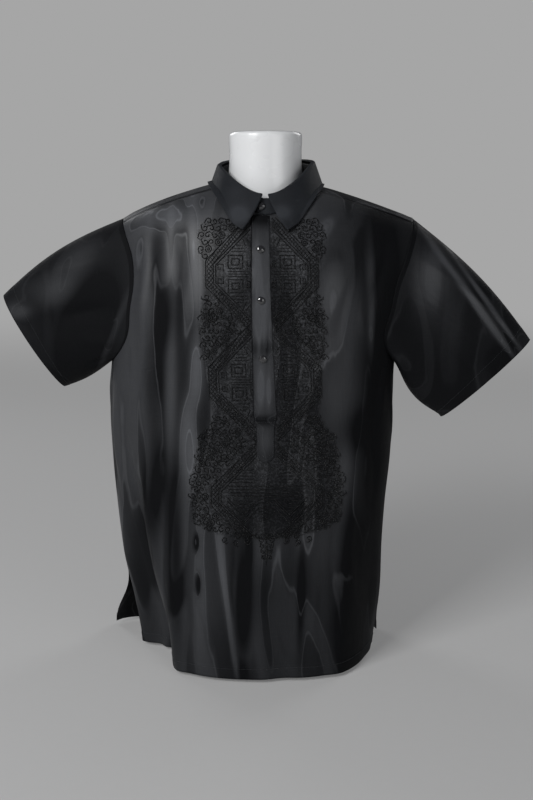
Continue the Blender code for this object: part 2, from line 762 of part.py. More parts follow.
def build_buttons(collection):
    """Three down the placket and one on the collar stand."""
    for number, height in enumerate(BUTTON_HEIGHTS, 1):
        centre = between(PLACKET[::-1], height).centre
        place = on_front(centre, height, PLACKET_LIFT + COLLAR_CLOTH)
        normal = body_normal(*front_place(centre, height), "front")
        build_button(f"button_{number}", place, normal, collection)
    low, high = (stand_point(COLLAR_BUTTON_ANGLE, up, 0.0) for up in (0.0, 1.0))
    side = Vector((cos(COLLAR_BUTTON_ANGLE), sin(COLLAR_BUTTON_ANGLE), 0))
    normal = side.cross(high - low).normalized()
    place = low.lerp(high, COLLAR_BUTTON_SHARE) + normal * BUTTON_GAP
    build_button("button_collar", place, normal, collection)


# Dress form


def form_ring(height):
    """One level section of the form."""
    ring = between(FORM, height)
    centre_x = FORM_BODY_X + (FORM_NECK_X - FORM_BODY_X) * smooth((height - FORM_LEAN_LOW) / FORM_LEAN_RISE)
    points = []
    for i in range(FORM_SIDES):
        turn = 2 * pi * i / FORM_SIDES
        c, s = cos(turn), sin(turn)
        size = (abs(c) ** ring.squareness + abs(s) ** ring.squareness) ** (-1 / ring.squareness)
        x = centre_x + ring.half_width * c * size
        points.append(Vector((x, ring.centre_y + ring.half_depth * s * size, height)))
    return points


def build_form(collection):
    """The smooth white torso and neck, flat underneath so that it stands by itself."""
    evenly = spread(FORM_ROW_LOW, FORM_ROW_HIGH, FORM_ROWS)
    heights = sorted(set([ring.height for ring in FORM] + evenly))
    kept = [heights[0]]
    for height in heights[1:]:
        if height - kept[-1] > FORM_LEAST_ROW:
            kept.append(height)
    rows = [form_ring(height) for height in kept]
    points = [p for row in rows for p in row]
    faces = grid_faces(len(rows), FORM_SIDES, closed=True)
    faces.append(tuple(reversed(range(FORM_SIDES))))
    faces.append(tuple(range(len(points) - FORM_SIDES, len(points))))
    return new_object("form", points, faces, "form_white", collection)


def set_down(collection):
    """Parent everything to an empty that brings the middle of the whole outline over the origin."""
    middle = bpy.data.objects.new("middle", None)
    middle.location = MIDDLE
    for made in collection.objects:
        made.parent = middle
    collection.objects.link(middle)


def main():
    for old in list(bpy.data.objects):
        bpy.data.objects.remove(old, do_unlink=True)
    collection = bpy.data.collections.new(NAME)
    bpy.context.scene.collection.children.link(collection)
    build_front(collection)
    build_back(collection)
    build_yoke(collection)
    build_sleeve("sleeve_right", -1, collection)
    build_sleeve("sleeve_left", 1, collection)
    build_stand(collection)
    build_fall(collection)
    build_placket(collection)
    build_buttons(collection)
    build_form(collection)
    set_down(collection)


main()
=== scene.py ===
"""A barong tagalog on a white dress form: watered black organza, raised tone-on-tone embroidery,
a half placket with cut glass buttons and a turned-down collar. Metres, +Z up, the front faces -Y and
the wearer's left is at +X. A place on a body panel is given by "across", -1 to 1 from the wearer's
right edge to the left, and by "climb": a height up to the underarm, then UNDERARM plus a share of
the way from there to the shoulder ridge. "side" is -1 for the front and 1 for the back.
"""

from collections import namedtuple
from itertools import starmap
from math import pi, radians

import bpy
import numpy as np
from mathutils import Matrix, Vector


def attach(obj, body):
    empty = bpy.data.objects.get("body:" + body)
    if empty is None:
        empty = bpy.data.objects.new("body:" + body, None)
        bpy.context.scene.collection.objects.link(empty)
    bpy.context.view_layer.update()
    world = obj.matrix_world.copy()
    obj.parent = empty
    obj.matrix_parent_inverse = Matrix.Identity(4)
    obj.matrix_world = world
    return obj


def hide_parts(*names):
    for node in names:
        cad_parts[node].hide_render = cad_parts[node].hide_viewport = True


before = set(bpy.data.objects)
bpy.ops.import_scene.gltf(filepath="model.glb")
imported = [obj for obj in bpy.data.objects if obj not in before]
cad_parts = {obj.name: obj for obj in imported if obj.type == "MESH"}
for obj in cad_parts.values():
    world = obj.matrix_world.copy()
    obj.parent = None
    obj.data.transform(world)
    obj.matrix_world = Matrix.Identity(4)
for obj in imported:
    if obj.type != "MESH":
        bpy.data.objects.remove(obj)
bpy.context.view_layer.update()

bl_info = {
    "name": "Barong Tagalog",
    "version": (1, 0, 0),
    "blender": (4, 5, 0),
    "location": "View3D > Sidebar > Barong",
    "description": "Builds an embroidered organza shirt on a dress form and its plain studio",
    "category": "Object",
}

MIDDLE = np.array((-0.0030, 0.0176, 0.0))  # from the body's own centre line to the frame's origin

# Heights and widths of the body
HEM = 0.006
SLIT_TOP = 0.165
UNDERARM = 0.4775
SIDE_NECK = 0.752
SIDE_NECK_X = 0.073
SHOULDER_SLOPE = 0.28
SHOULDER_ROUND = 0.35
RIGHT_LIFT = 0.006
ARMHOLE_ANGLE = radians(58)
ARMHOLE_FLOOR = 0.0675
SLIT_ANGLES = (radians(82), radians(72))  # front and back
FRONT_SEAM = -0.31
BACK_SEAM_RISE = 0.66
CHEST_RISE_POWER = 3.0
CHEST_REACH_POWER = 2.2
BACK_REACH_POWER = 6.0
BACK_EDGE_POWER = 2.4
NECK_X = 0.004
NECK_Y = -0.004
NECK_RADIUS = 0.074
HALF_ROUND = 0.30  # metres of cloth for one unit of across, about
HEM_TURN = 0.022  # height of the stitching that holds the hem
HEM_PROUD = 0.0007
HEM_STEP = 0.0012

# Searches and slopes
NEAR_ZERO = 1e-12
NEAR = 1e-9
SLOPE_STEP = 0.002
SETTLE_STEPS = 8
SEARCH_STEPS = 30

# height, half width, front depth, back depth, squareness, shift
BODY = np.array(
    (
        (0.000, 0.209, 0.160, 0.118, 2.2, -0.008),
        (0.090, 0.208, 0.152, 0.118, 2.3, -0.013),
        (0.165, 0.2125, 0.145, 0.118, 2.4, -0.019),
        (0.250, 0.2185, 0.137, 0.117, 2.5, -0.021),
        (0.330, 0.2245, 0.130, 0.116, 2.5, -0.020),
        (0.430, 0.2267, 0.122, 0.115, 2.5, -0.020),
        (0.4775, 0.225, 0.119, 0.114, 2.5, -0.017),
        (0.520, 0.228, 0.118, 0.114, 2.4, -0.012),
        (0.565, 0.2343, 0.118, 0.114, 2.4, -0.004),
        (0.605, 0.2355, 0.118, 0.114, 2.4, 0.003),
        (0.645, 0.245, 0.118, 0.113, 2.4, 0.009),
        (0.700, 0.2634, 0.118, 0.112, 2.4, 0.007),
        (0.760, 0.2634, 0.118, 0.112, 2.4, 0.007),
    )
)

# Large soft folds, as the solids have them
FRONT_FOLD_SIDEWAYS = 0.4
FOLD_FULL = 1.35  # above 1, a fold that runs off the hem is at its full depth before it gets there
SEAM_HOLD = 0.28
# For the front, -1, and the back, 1
Fold = namedtuple("Fold", "foot head low high width depth")
FOLDS = {
    -1: (
        (-0.80, -0.74, -0.20, 0.420, 0.240, -0.084),
        (-0.60, -0.62, -0.20, 0.440, 0.070, -0.030),
        (-0.44, -0.52, -0.10, 0.470, 0.060, 0.010),
        (0.74, 0.70, -0.15, 0.340, 0.120, -0.014),
        (1.00, 0.96, -0.20, 0.200, 0.200, -0.066),
        (0.46, 0.48, -0.10, 0.400, 0.080, 0.006),
        (0.12, 0.20, -0.10, 0.300, 0.080, -0.005),
        (-0.62, -0.50, 0.480, 0.660, 0.090, -0.004),
        (0.62, 0.52, 0.480, 0.660, 0.090, -0.007),
    ),
    1: (
        (-1.00, -1.00, -0.05, 0.165, 0.240, 0.058),
        (0.80, 0.80, -0.15, 0.200, 0.160, 0.010),
        (-0.52, -0.46, -0.10, 0.520, 0.090, -0.012),
        (0.50, 0.44, -0.10, 0.500, 0.090, -0.012),
        (-0.16, -0.20, -0.10, 0.420, 0.090, 0.008),
        (0.18, 0.20, -0.10, 0.440, 0.100, 0.008),
    ),
}

# How a crease wanders from a straight line, and how near a side seam it dies away
WANDER = 0.35
WANDER_TURNS = 40
WANDER_START = 30
CREASE_HOLD = 0.06

# Creases, given one by one: soft ridges and, with a negative depth, troughs. Length is half the whole
# length; lean is how far the top stands to the wearer's left of the foot for each metre of height.
Crease = namedtuple("Crease", "across height length width depth lean")
CREASES = {
    -1: (
        (-0.56, 0.600, 0.090, 0.010, 0.0018, 0.06),
        (-0.47, 0.560, 0.120, 0.009, -0.0015, -0.05),
        (-0.50, 0.460, 0.150, 0.008, 0.0022, 0.04),
        (-0.34, 0.610, 0.090, 0.007, 0.0018, -0.06),
        (-0.78, 0.360, 0.130, 0.012, 0.0040, 0.06),
        (-0.66, 0.300, 0.160, 0.010, -0.0040, 0.03),
        (-0.53, 0.250, 0.200, 0.009, 0.0042, 0.02),
        (-0.46, 0.150, 0.170, 0.007, -0.0026, 0.05),
        (-0.40, 0.120, 0.130, 0.006, 0.0020, -0.07),
        (-0.27, 0.110, 0.120, 0.005, 0.0026, -0.16),
        (-0.235, 0.090, 0.100, 0.004, -0.0018, -0.18),
        (-0.20, 0.070, 0.080, 0.004, 0.0016, -0.12),
        (-0.13, 0.130, 0.110, 0.012, -0.0018, -0.03),
        (0.03, 0.080, 0.120, 0.014, 0.0026, 0.02),
        (0.19, 0.110, 0.110, 0.012, -0.0016, 0.06),
        (0.30, 0.110, 0.140, 0.008, 0.0030, 0.04),
        (0.42, 0.160, 0.160, 0.010, -0.0030, 0.02),
        (0.52, 0.240, 0.180, 0.012, 0.0032, -0.02),
        (0.66, 0.360, 0.140, 0.012, -0.0030, -0.05),
        (0.44, 0.540, 0.110, 0.010, 0.0024, -0.10),
        (0.51, 0.590, 0.110, 0.009, -0.0020, -0.06),
        (0.33, 0.600, 0.080, 0.008, 0.0016, 0.08),
        (0.74, 0.460, 0.090, 0.010, 0.0022, 0.03),
        (-0.92, 0.420, 0.080, 0.008, -0.0024, 0.40),
        (0.90, 0.400, 0.070, 0.008, 0.0022, -0.40),
    ),
    1: (
        (-0.84, 0.420, 0.150, 0.012, 0.0034, 0.05),
        (-0.66, 0.300, 0.200, 0.011, -0.0038, 0.03),
        (-0.44, 0.220, 0.190, 0.010, 0.0036, -0.03),
        (-0.34, 0.420, 0.150, 0.009, 0.0030, 0.04),
        (-0.18, 0.150, 0.150, 0.009, -0.0030, 0.02),
        (-0.06, 0.300, 0.200, 0.011, 0.0030, -0.02),
        (0.07, 0.120, 0.130, 0.008, 0.0026, 0.07),
        (0.16, 0.380, 0.170, 0.010, -0.0028, -0.03),
        (0.30, 0.180, 0.170, 0.009, 0.0034, 0.03),
        (0.38, 0.440, 0.140, 0.009, 0.0026, -0.04),
        (0.60, 0.260, 0.200, 0.011, 0.0036, -0.02),
        (0.74, 0.380, 0.140, 0.010, -0.0034, -0.05),
        (0.66, 0.500, 0.090, 0.009, 0.0026, -0.06),
        (-0.60, 0.540, 0.080, 0.009, -0.0024, 0.06),
    ),
}

# Painted highlights and painted shade on the cloth, together with light and dark places in its watering,
# seen square on: half width, half height, how far the top leans to the wearer's left for each metre, and how
# light (above 0) or dark (below 0) it is.
Patch = namedtuple("Patch", "x z half_width half_height lean light")
LIGHT_AND_SHADE_PATCHES = {
    "front": (
        (-0.158, 0.655, 0.010, 0.055, 0.04, -0.32),
        (-0.137, 0.665, 0.005, 0.050, -0.02, 0.45),
        (-0.146, 0.560, 0.011, 0.040, 0.00, -0.30),
        (-0.122, 0.590, 0.006, 0.060, 0.05, -0.20),
        (-0.100, 0.640, 0.007, 0.075, -0.06, 0.95),
        (-0.150, 0.705, 0.050, 0.016, 0.00, 0.80),
        (-0.176, 0.600, 0.006, 0.080, 0.05, 0.30),
        (-0.165, 0.450, 0.014, 0.070, 0.00, -0.30),
        (-0.138, 0.440, 0.008, 0.090, 0.02, 0.55),
        (-0.098, 0.485, 0.009, 0.045, 0.00, 0.75),
        (-0.113, 0.400, 0.010, 0.050, 0.10, 0.55),
        (-0.106, 0.345, 0.009, 0.040, 0.00, 0.85),
        (-0.160, 0.330, 0.012, 0.045, 0.00, -0.35),
        (-0.172, 0.260, 0.016, 0.050, 0.06, -0.40),
        (-0.150, 0.180, 0.007, 0.100, 0.04, 0.15),
        (-0.160, 0.090, 0.010, 0.050, 0.00, 0.15),
        (-0.132, 0.200, 0.010, 0.120, 0.00, -0.40),
        (-0.104, 0.150, 0.016, 0.110, 0.00, 0.22),
        (-0.100, 0.218, 0.004, 0.012, 0.00, -0.70),
        (-0.097, 0.152, 0.004, 0.016, 0.00, -0.60),
        (-0.062, 0.200, 0.005, 0.060, -0.10, 0.45),
        (-0.052, 0.110, 0.004, 0.090, -0.14, 0.40),
        (-0.028, 0.130, 0.013, 0.090, 0.00, -0.60),
        (0.040, 0.120, 0.042, 0.080, 0.00, -0.08),
        (0.090, 0.160, 0.012, 0.070, 0.03, 0.12),
        (0.060, 0.120, 0.005, 0.080, 0.02, -0.35),
        (0.140, 0.120, 0.018, 0.120, 0.00, -0.70),
        (0.108, 0.650, 0.020, 0.045, 0.00, -0.12),
        (0.130, 0.550, 0.030, 0.050, 0.00, 0.32),
        (0.104, 0.600, 0.012, 0.030, 0.10, 0.40),
        (0.120, 0.450, 0.028, 0.050, 0.00, 0.40),
        (0.145, 0.385, 0.018, 0.030, 0.10, -0.25),
        (0.125, 0.320, 0.014, 0.050, 0.05, 0.40),
        (0.165, 0.560, 0.006, 0.090, -0.04, 0.50),
        (0.185, 0.420, 0.018, 0.200, 0.00, -0.75),
        (0.092, 0.688, 0.008, 0.012, 0.50, 0.95),
        (-0.050, 0.640, 0.028, 0.060, 0.00, 0.75),
        (0.048, 0.650, 0.030, 0.050, 0.00, 0.50),
        (-0.050, 0.500, 0.034, 0.060, 0.00, 0.35),
        (0.060, 0.520, 0.034, 0.050, 0.00, 0.25),
        (-0.060, 0.330, 0.034, 0.050, 0.00, 0.20),
        (0.015, 0.275, 0.055, 0.030, 0.00, -0.25),
    ),
    "sleeve_right": (
        (-0.300, 0.625, 0.026, 0.040, 0.60, 0.30),
        (-0.340, 0.590, 0.040, 0.020, 0.00, 0.20),
        (-0.275, 0.530, 0.030, 0.055, 0.30, -0.95),
        (-0.236, 0.520, 0.006, 0.060, 0.45, 0.30),
        (-0.390, 0.555, 0.020, 0.012, 0.00, 0.40),
    ),
    "sleeve_left": (
        (0.325, 0.578, 0.006, 0.085, -0.76, 1.00),
        (0.344, 0.580, 0.004, 0.075, -0.76, 0.90),
        (0.270, 0.555, 0.034, 0.045, -0.30, 0.14),
        (0.256, 0.615, 0.022, 0.040, 0.00, 0.60),
        (0.380, 0.480, 0.030, 0.030, 0.00, -0.20),
    ),
    "back": (
        (-0.205, 0.080, 0.030, 0.100, 0.00, -1.00),
        (-0.150, 0.560, 0.012, 0.060, 0.04, -0.80),
        (-0.118, 0.540, 0.008, 0.090, -0.03, 0.70),
        (-0.060, 0.470, 0.016, 0.090, 0.02, -0.60),
        (-0.020, 0.560, 0.010, 0.070, 0.00, 0.70),
        (0.030, 0.430, 0.014, 0.110, 0.03, 0.55),
        (0.070, 0.540, 0.012, 0.060, -0.02, -0.80),
        (0.120, 0.500, 0.010, 0.090, 0.04, 0.60),
        (0.160, 0.420, 0.014, 0.090, 0.00, -0.70),
        (-0.160, 0.300, 0.012, 0.110, 0.02, 0.55),
        (-0.110, 0.220, 0.016, 0.110, 0.00, -0.75),
        (-0.040, 0.180, 0.014, 0.120, 0.04, 0.60),
        (0.020, 0.200, 0.010, 0.090, -0.03, -0.60),
        (0.070, 0.160, 0.016, 0.110, 0.02, 0.55),
        (0.130, 0.200, 0.012, 0.120, 0.00, -0.70),
        (0.170, 0.150, 0.008, 0.090, 0.03, 0.60),
    ),
    "placket": (
        (0.000, 0.560, 0.030, 0.150, 0.00, 0.72),
        (-0.004, 0.540, 0.0022, 0.030, 0.02, 0.50),
        (0.007, 0.535, 0.0022, 0.035, -0.01, -0.35),
        (-0.011, 0.590, 0.0018, 0.060, 0.00, -0.30),
        # painted shade: dark lines along the placket's overlapping edge
        (-0.0164, 0.640, 0.0012, 0.090, -0.005, -1.00),
        (-0.0146, 0.490, 0.0012, 0.090, -0.018, -1.00),
        (-0.009, 0.630, 0.0045, 0.026, 0.00, 1.00),
        (-0.002, 0.620, 0.0020, 0.030, -0.10, 0.60),
        (-0.006, 0.560, 0.0050, 0.022, 0.00, 0.90),
        (0.005, 0.555, 0.0030, 0.030, 0.00, 0.45),
        (0.000, 0.515, 0.0200, 0.012, 0.00, -0.50),
        (-0.002, 0.455, 0.0050, 0.024, 0.00, 0.75),
        (0.010, 0.450, 0.0035, 0.022, 0.00, 0.50),
        (0.005, 0.407, 0.0250, 0.007, 0.00, -0.40),
        (0.006, 0.375, 0.0080, 0.016, 0.00, 0.30),
        # painted shadow under the collar
        (0.000, 0.711, 0.0200, 0.016, 0.00, -0.65),
    ),
    # painted highlights on the collar's leaves
    "collar_fall": (
        (-0.034, 0.710, 0.013, 0.010, 0.00, 0.90),
        (0.030, 0.712, 0.010, 0.009, 0.00, 0.80),
    ),
    # painted highlights on the yoke over the shoulders
    "yoke": (
        (-0.150, 0.700, 0.050, 0.014, 0.30, 0.75),
        (0.140, 0.705, 0.040, 0.012, -0.30, 0.25),
    ),
}

PATCH_CORE = 0.72
PATCH_EDGE = 1.25
SHADED_ROWS = 3  # rows of a sleeve that lie in the shade of the armhole seam

# How far the watering dies away, which also darkens the cloth: all over a piece, or on the front towards the
# wearer's left side, as painted shade, and down to the hem
CALM = {"sleeve_right": 0.82, "sleeve_left": 0.70, "placket": 0.75, "yoke": 0.2, "back": 0.3}
CALM_SHADE = 0.75
CALM_SHADE_FROM = 0.10
CALM_SHADE_WIDTH = 0.07
CALM_HEM = 0.45
CALM_HEM_TOP = 0.22
CALM_HEM_FADE = 0.08
CALM_HEM_FROM = -0.03
CALM_HEM_WIDTH = 0.04

# Sleeves
Cuff = namedtuple("Cuff", "top_x top_z low_x low_z y half_thickness")
CUFFS = {
    "sleeve_right": Cuff(-0.4168, 0.5744, -0.3264, 0.4311, 0.030, 0.039),
    "sleeve_left": Cuff(0.4222, 0.5074, 0.2871, 0.3844, 0.015, 0.029),
}
# Broad folds first, then creases: around starts at the underarm and runs up the front
SleeveFold = namedtuple("SleeveFold", "around start end width depth lean")
SLEEVE_FOLDS = {
    "sleeve_right": (
        (0.50, 0.00, 1.10, 0.100, 0.016, 0.0),
        (0.00, 0.00, 1.10, 0.080, 0.006, 0.0),
        (0.27, 0.10, 1.00, 0.080, -0.007, 0.0),
        (0.76, 0.10, 1.00, 0.090, -0.007, 0.0),
        (0.36, 0.02, 0.80, 0.022, 0.0034, 0.10),
        (0.22, 0.05, 0.70, 0.024, -0.0034, 0.12),
        (0.14, 0.00, 0.60, 0.018, 0.0030, 0.10),
        (0.08, 0.02, 0.55, 0.016, -0.0026, 0.06),
        (0.43, 0.30, 1.00, 0.020, -0.0022, -0.06),
        (0.30, 0.45, 1.05, 0.020, 0.0022, 0.04),
        (0.64, 0.02, 0.80, 0.022, 0.0034, -0.10),
        (0.78, 0.05, 0.75, 0.022, 0.0030, -0.12),
        (0.87, 0.02, 0.60, 0.018, -0.0030, -0.08),
        (0.71, 0.40, 1.05, 0.018, -0.0022, 0.03),
    ),
    "sleeve_left": (
        (0.50, 0.00, 1.10, 0.100, 0.014, 0.0),
        (0.02, 0.05, 0.95, 0.100, 0.012, 0.0),
        (0.30, 0.05, 1.00, 0.080, -0.006, 0.0),
        (0.74, 0.10, 1.00, 0.090, -0.006, 0.0),
        (0.38, 0.02, 1.00, 0.014, 0.0036, 0.04),
        (0.33, 0.05, 0.95, 0.012, -0.0026, 0.04),
        (0.28, 0.02, 0.90, 0.013, 0.0030, 0.06),
        (0.18, 0.00, 0.60, 0.020, -0.0034, 0.10),
        (0.11, 0.00, 0.60, 0.016, 0.0030, 0.08),
        (0.24, 0.45, 1.05, 0.020, -0.0020, 0.02),
        (0.64, 0.02, 0.80, 0.020, 0.0034, -0.08),
        (0.76, 0.05, 0.75, 0.022, 0.0028, -0.12),
        (0.85, 0.02, 0.60, 0.018, -0.0030, -0.10),
        (0.70, 0.40, 1.05, 0.020, -0.0022, 0.04),
    ),
}


# Collar
STAND_BACK = 0.036
STAND_FRONT = 0.024
STAND_LEAN = 0.003
STAND_LAP = radians(10)
STAND_SPIRAL = 0.0024
FALL_FRONT = radians(3.5)
FALL_SPREAD = radians(16)
FALL_BACK_LENGTH = 0.042
FALL_POINT_LENGTH = 0.066
FALL_FOLD_RADIUS = 0.0024
FALL_CLEAR = 0.0030
FALL_SIDE_DROP = 0.008
FALL_FOLD_LIFT = 0.0004
FALL_FOLD_IN = 0.6  # these three are shares of the fold's radius
FALL_FOLD_OUT = 1.6
FALL_FOLD_DROP = 0.1
FALL_FOLD_START = -0.92  # how far round the fold the hidden edge lies
FALL_SLOPE = 66  # degrees below level
FALL_SIDE_SLOPE = 4
FALL_POINT_REACH = 0.62
FALL_POINT_POWER = 1.5
COLLAR_CLOTH = 0.0015
SEAM = 0.0005

# Placket: height, half width, centre
PLACKET = np.array(
    (
        (0.356, 0.0130, 0.0060),
        (0.398, 0.0134, 0.0054),
        (0.408, 0.0170, 0.0050),
        (0.435, 0.0168, 0.0038),
        (0.586, 0.0146, -0.0016),
        (0.704, 0.0136, -0.0032),
    )
)
PLACKET_END = 0.0130
PLACKET_PROUD = 0.0022
PLACKET_TOP = 0.7075
PLACKET_SEAM = 0.4065  # where the overlap is sewn shut
BUTTON_HEIGHTS = (0.6593, 0.5859, 0.4992)
BUTTON_RADIUS = 0.0056

# Form: height, half width, half depth, centre y, squareness
FORM = np.array(
    (
        (0.000, 0.1480, 0.0980, 0.000, 2.3),
        (0.004, 0.1510, 0.1010, 0.000, 2.3),
        (0.090, 0.1600, 0.1040, -0.002, 2.3),
        (0.230, 0.1500, 0.0940, -0.002, 2.3),
        (0.350, 0.1580, 0.0960, 0.000, 2.3),
        (0.460, 0.1700, 0.1000, 0.001, 2.3),
        (0.560, 0.1760, 0.0980, 0.002, 2.3),
        (0.620, 0.1750, 0.0900, 0.002, 2.2),
        (0.665, 0.1640, 0.0780, 0.002, 2.1),
        (0.695, 0.1320, 0.0660, 0.002, 2.0),
        (0.716, 0.0980, 0.0580, 0.002, 2.0),
        (0.738, 0.0690, 0.0550, 0.001, 2.0),
        (0.765, 0.0580, 0.0550, 0.000, 2.0),
        (0.800, 0.0555, 0.0550, 0.000, 2.0),
        (0.826, 0.0560, 0.0556, 0.000, 2.0),
        (0.831, 0.0530, 0.0526, 0.000, 2.0),
        (0.832, 0.0480, 0.0476, 0.000, 2.0),
    )
)


# Curves and tables


def read_table(rows, height):
    """Every column but the first of a table, at these heights, on smooth curves."""
    at = np.clip(np.asarray(height, float), rows[0, 0], rows[-1, 0])
    i = np.clip(np.searchsorted(rows[:, 0], at, side="right") - 1, 0, len(rows) - 2)
    before, low = rows[np.maximum(i - 1, 0)], rows[i]
    high, after = rows[i + 1], rows[np.minimum(i + 2, len(rows) - 1)]
    span = high[..., :1] - low[..., :1]
    t = (at[..., None] - low[..., :1]) / span
    slope_low = (high - before) / (high[..., :1] - before[..., :1]) * span
    slope_high = (after - low) / (after[..., :1] - low[..., :1]) * span
    values = (
        (2 * t**3 - 3 * t**2 + 1) * low
        + (t**3 - 2 * t**2 + t) * slope_low
        + (3 * t**2 - 2 * t**3) * high
        + (t**3 - t**2) * slope_high
    )
    return np.moveaxis(values, -1, 0)[1:]


def smooth(t):
    """A soft step from 0 to 1."""
    t = np.clip(t, 0.0, 1.0)
    return t * t * (3 - 2 * t)


def bell(t):
    """A soft rise to 1 at 0 and down again."""
    return np.exp(-(t**2))


def run_along(points):
    """How far along a line each of its points lies."""
    return np.concatenate(([0.0], np.cumsum(np.linalg.norm(np.diff(points, axis=0), axis=1))))


def at_run(at, run, points):
    """The places on a line at these distances along it."""
    return np.stack([np.interp(at, run, column) for column in points.T], -1)


def unit(v):
    """Vectors of length 1."""
    return v / np.maximum(np.linalg.norm(v, axis=-1, keepdims=True), NEAR_ZERO)


# The body surface


def edge_angle(height, side):
    """How far round the body a panel reaches: to the side seam, the slit or the armhole."""
    slit = np.where(side < 0, SLIT_ANGLES[0], SLIT_ANGLES[1])
    low = slit + (pi / 2 - slit) * smooth(height / SLIT_TOP)
    k = np.clip((height - UNDERARM) / ARMHOLE_FLOOR, 0, 1)
    high = pi / 2 - (pi / 2 - ARMHOLE_ANGLE) * np.sqrt(1 - (1 - k) ** 2)
    return np.where(height < SLIT_TOP, low, high)


def ridge(across):
    """The height of the shoulder ridge."""
    x = BODY[-1, 1] * np.sin(np.abs(across) * ARMHOLE_ANGLE)
    out = np.maximum(0.0, x - SIDE_NECK_X)
    lift = np.where(across < 0, RIGHT_LIFT * np.sin(pi * np.abs(across)), 0.0)
    return SIDE_NECK + lift - SHOULDER_SLOPE * out - SHOULDER_ROUND * out * out


def reach_power(across, side):
    """How square the arch over the shoulder is, front or back."""
    back = BACK_REACH_POWER - (BACK_REACH_POWER - BACK_EDGE_POWER) * np.abs(across)
    return np.where(side < 0, CHEST_REACH_POWER, back)


def rise_of(across, reach):
    """The share of the way from the underarm to the ridge, from the reach."""
    far = np.clip(np.abs(reach), 0.0, 1.0)
    return (1 - far ** reach_power(across, reach)) ** (1 / CHEST_RISE_POWER)


def reach_of(across, rise, side):
    """The reach, from the share of the way up."""
    rise = np.clip(rise, 0.0, 1.0)
    return side * (1 - rise**CHEST_RISE_POWER) ** (1 / reach_power(across, side))


def flat_point(across, height, reach, side):
    """Places on the body surface with no folds."""
    half_width, front, back, squareness, shift = read_table(BODY, height)
    share = np.sin(across * edge_angle(height, side))
    deep = np.sqrt(np.maximum(0.0, 1 - np.minimum(np.abs(share), 1.0) ** squareness))
    depth = np.where(side < 0, front, back)
    return np.stack((shift + half_width * share, reach * depth * deep, height + 0 * reach), -1)


def body_point(across, climb, side):
    """Places on a panel."""
    across, climb, side = np.broadcast_arrays(across, climb, side)
    rise = np.maximum(climb - UNDERARM, 0.0)
    high = UNDERARM + rise * (ridge(across) - UNDERARM)
    height = np.where(climb <= UNDERARM, climb, high)
    reach = np.where(climb <= UNDERARM, side, reach_of(across, rise, side))
    return flat_point(across, height, reach, side)


def slopes(surface, across, climb, side):
    """The outward normals of a surface, from its neighbours."""
    left = surface(np.maximum(across - SLOPE_STEP, -1.0), climb, side)
    right = surface(np.minimum(across + SLOPE_STEP, 1.0), climb, side)
    low = surface(across, np.maximum(climb - SLOPE_STEP, 0.0), side)
    high = surface(across, np.minimum(climb + SLOPE_STEP, UNDERARM + 1.0), side)
    return unit(np.cross(right - left, high - low)) * -np.asarray(side, float)[..., None]


def fold_depth(across, height, side):
    """The outward push of the large folds."""
    total = np.zeros(np.broadcast(across, height).shape)
    for panel, rows in FOLDS.items():
        for fold in starmap(Fold, rows):
            t = (height - fold.low) / (fold.high - fold.low)
            middle = fold.foot + (fold.head - fold.foot) * t
            strength = np.sin(pi * t) if fold.low > HEM else smooth(FOLD_FULL * (1 - t))
            strength = np.where((t > 0) & (t < 1) & (side == panel), strength, 0.0)
            total = total + fold.depth * strength * bell((across - middle) / fold.width)
    held = smooth(height / SLIT_TOP) * (1 - smooth((1 - np.abs(across)) / SEAM_HOLD))
    return total * (1 - held)


def crease_depth(across, height, side):
    """The outward push of the creases."""
    total = np.zeros(np.broadcast(across, height).shape)
    across = across * edge_angle(height, side) / (pi / 2)
    for panel, rows in CREASES.items():
        for crease in starmap(Crease, rows):
            up = height - crease.height
            wander = WANDER * crease.width * np.sin(up * WANDER_TURNS + crease.across * WANDER_START)
            out = (across - crease.across) * HALF_ROUND - crease.lean * up + wander
            ends = np.maximum(0.0, 1 - (up / crease.length) ** 2) ** 2
            push = crease.depth * ends * bell(out / crease.width)
            total = total + np.where(side == panel, push, 0.0)
    return total


def skin(across, climb, side):
    """The outer face of a body panel, folds, creases, hem and all."""
    across, climb, side = (np.asarray(v, float) for v in np.broadcast_arrays(across, climb, side))
    place = body_point(across, climb, side)
    normal = slopes(body_point, across, climb, side)
    height = place[..., 2]
    push = fold_depth(across, height, side)
    sideways = np.where(side < 0, FRONT_FOLD_SIDEWAYS, 1.0)
    held = smooth((1 - np.abs(across)) / CREASE_HOLD)
    hem = HEM_PROUD * (1 - smooth((height - HEM_TURN) / HEM_STEP))
    small = crease_depth(across, height, side) * held + hem
    moved = place + normal * small[..., None]
    moved[..., 0] += normal[..., 0] * push * sideways
    moved[..., 1] += normal[..., 1] * push
    return moved


def shoulder_point(across, reach):
    """Places on the yoke, front or back of the ridge."""
    side = np.where(reach < 0, -1.0, 1.0)
    height = UNDERARM + rise_of(across, reach) * (ridge(across) - UNDERARM)
    return flat_point(across, height, reach, side)


def shoulder_place(x, y):
    """The across and reach of the yoke surface over points seen from above."""
    x, y = np.broadcast_arrays(np.asarray(x, float), np.asarray(y, float))
    height = np.full(x.shape, SIDE_NECK)
    side = np.where(y < 0, -1.0, 1.0)
    for _ in range(SETTLE_STEPS):
        half_width, front, back, squareness, shift = read_table(BODY, height)
        share = (x - shift) / half_width
        across = np.arctan2(share, np.sqrt(np.maximum(0.0, 1 - share**2))) / edge_angle(height, side)
        deep = np.sqrt(np.maximum(NEAR, 1 - np.minimum(np.abs(share), 1.0) ** squareness))
        reach = np.clip(y / (np.where(y < 0, front, back) * deep), -1.0, 1.0)
        height = UNDERARM + rise_of(across, reach) * (ridge(across) - UNDERARM)
    return across, reach


def neck_plan(angle, grow=0.0):
    """Points of the neck opening from above; angle 0 is the front, +90 degrees the wearer's left."""
    radius = NECK_RADIUS + grow
    return NECK_X + radius * np.sin(angle), NECK_Y - radius * np.cos(angle)


def neckline(angle):
    """The height of the neck seam at angles round the neck."""
    return shoulder_point(*shoulder_place(*neck_plan(angle)))[..., 2]


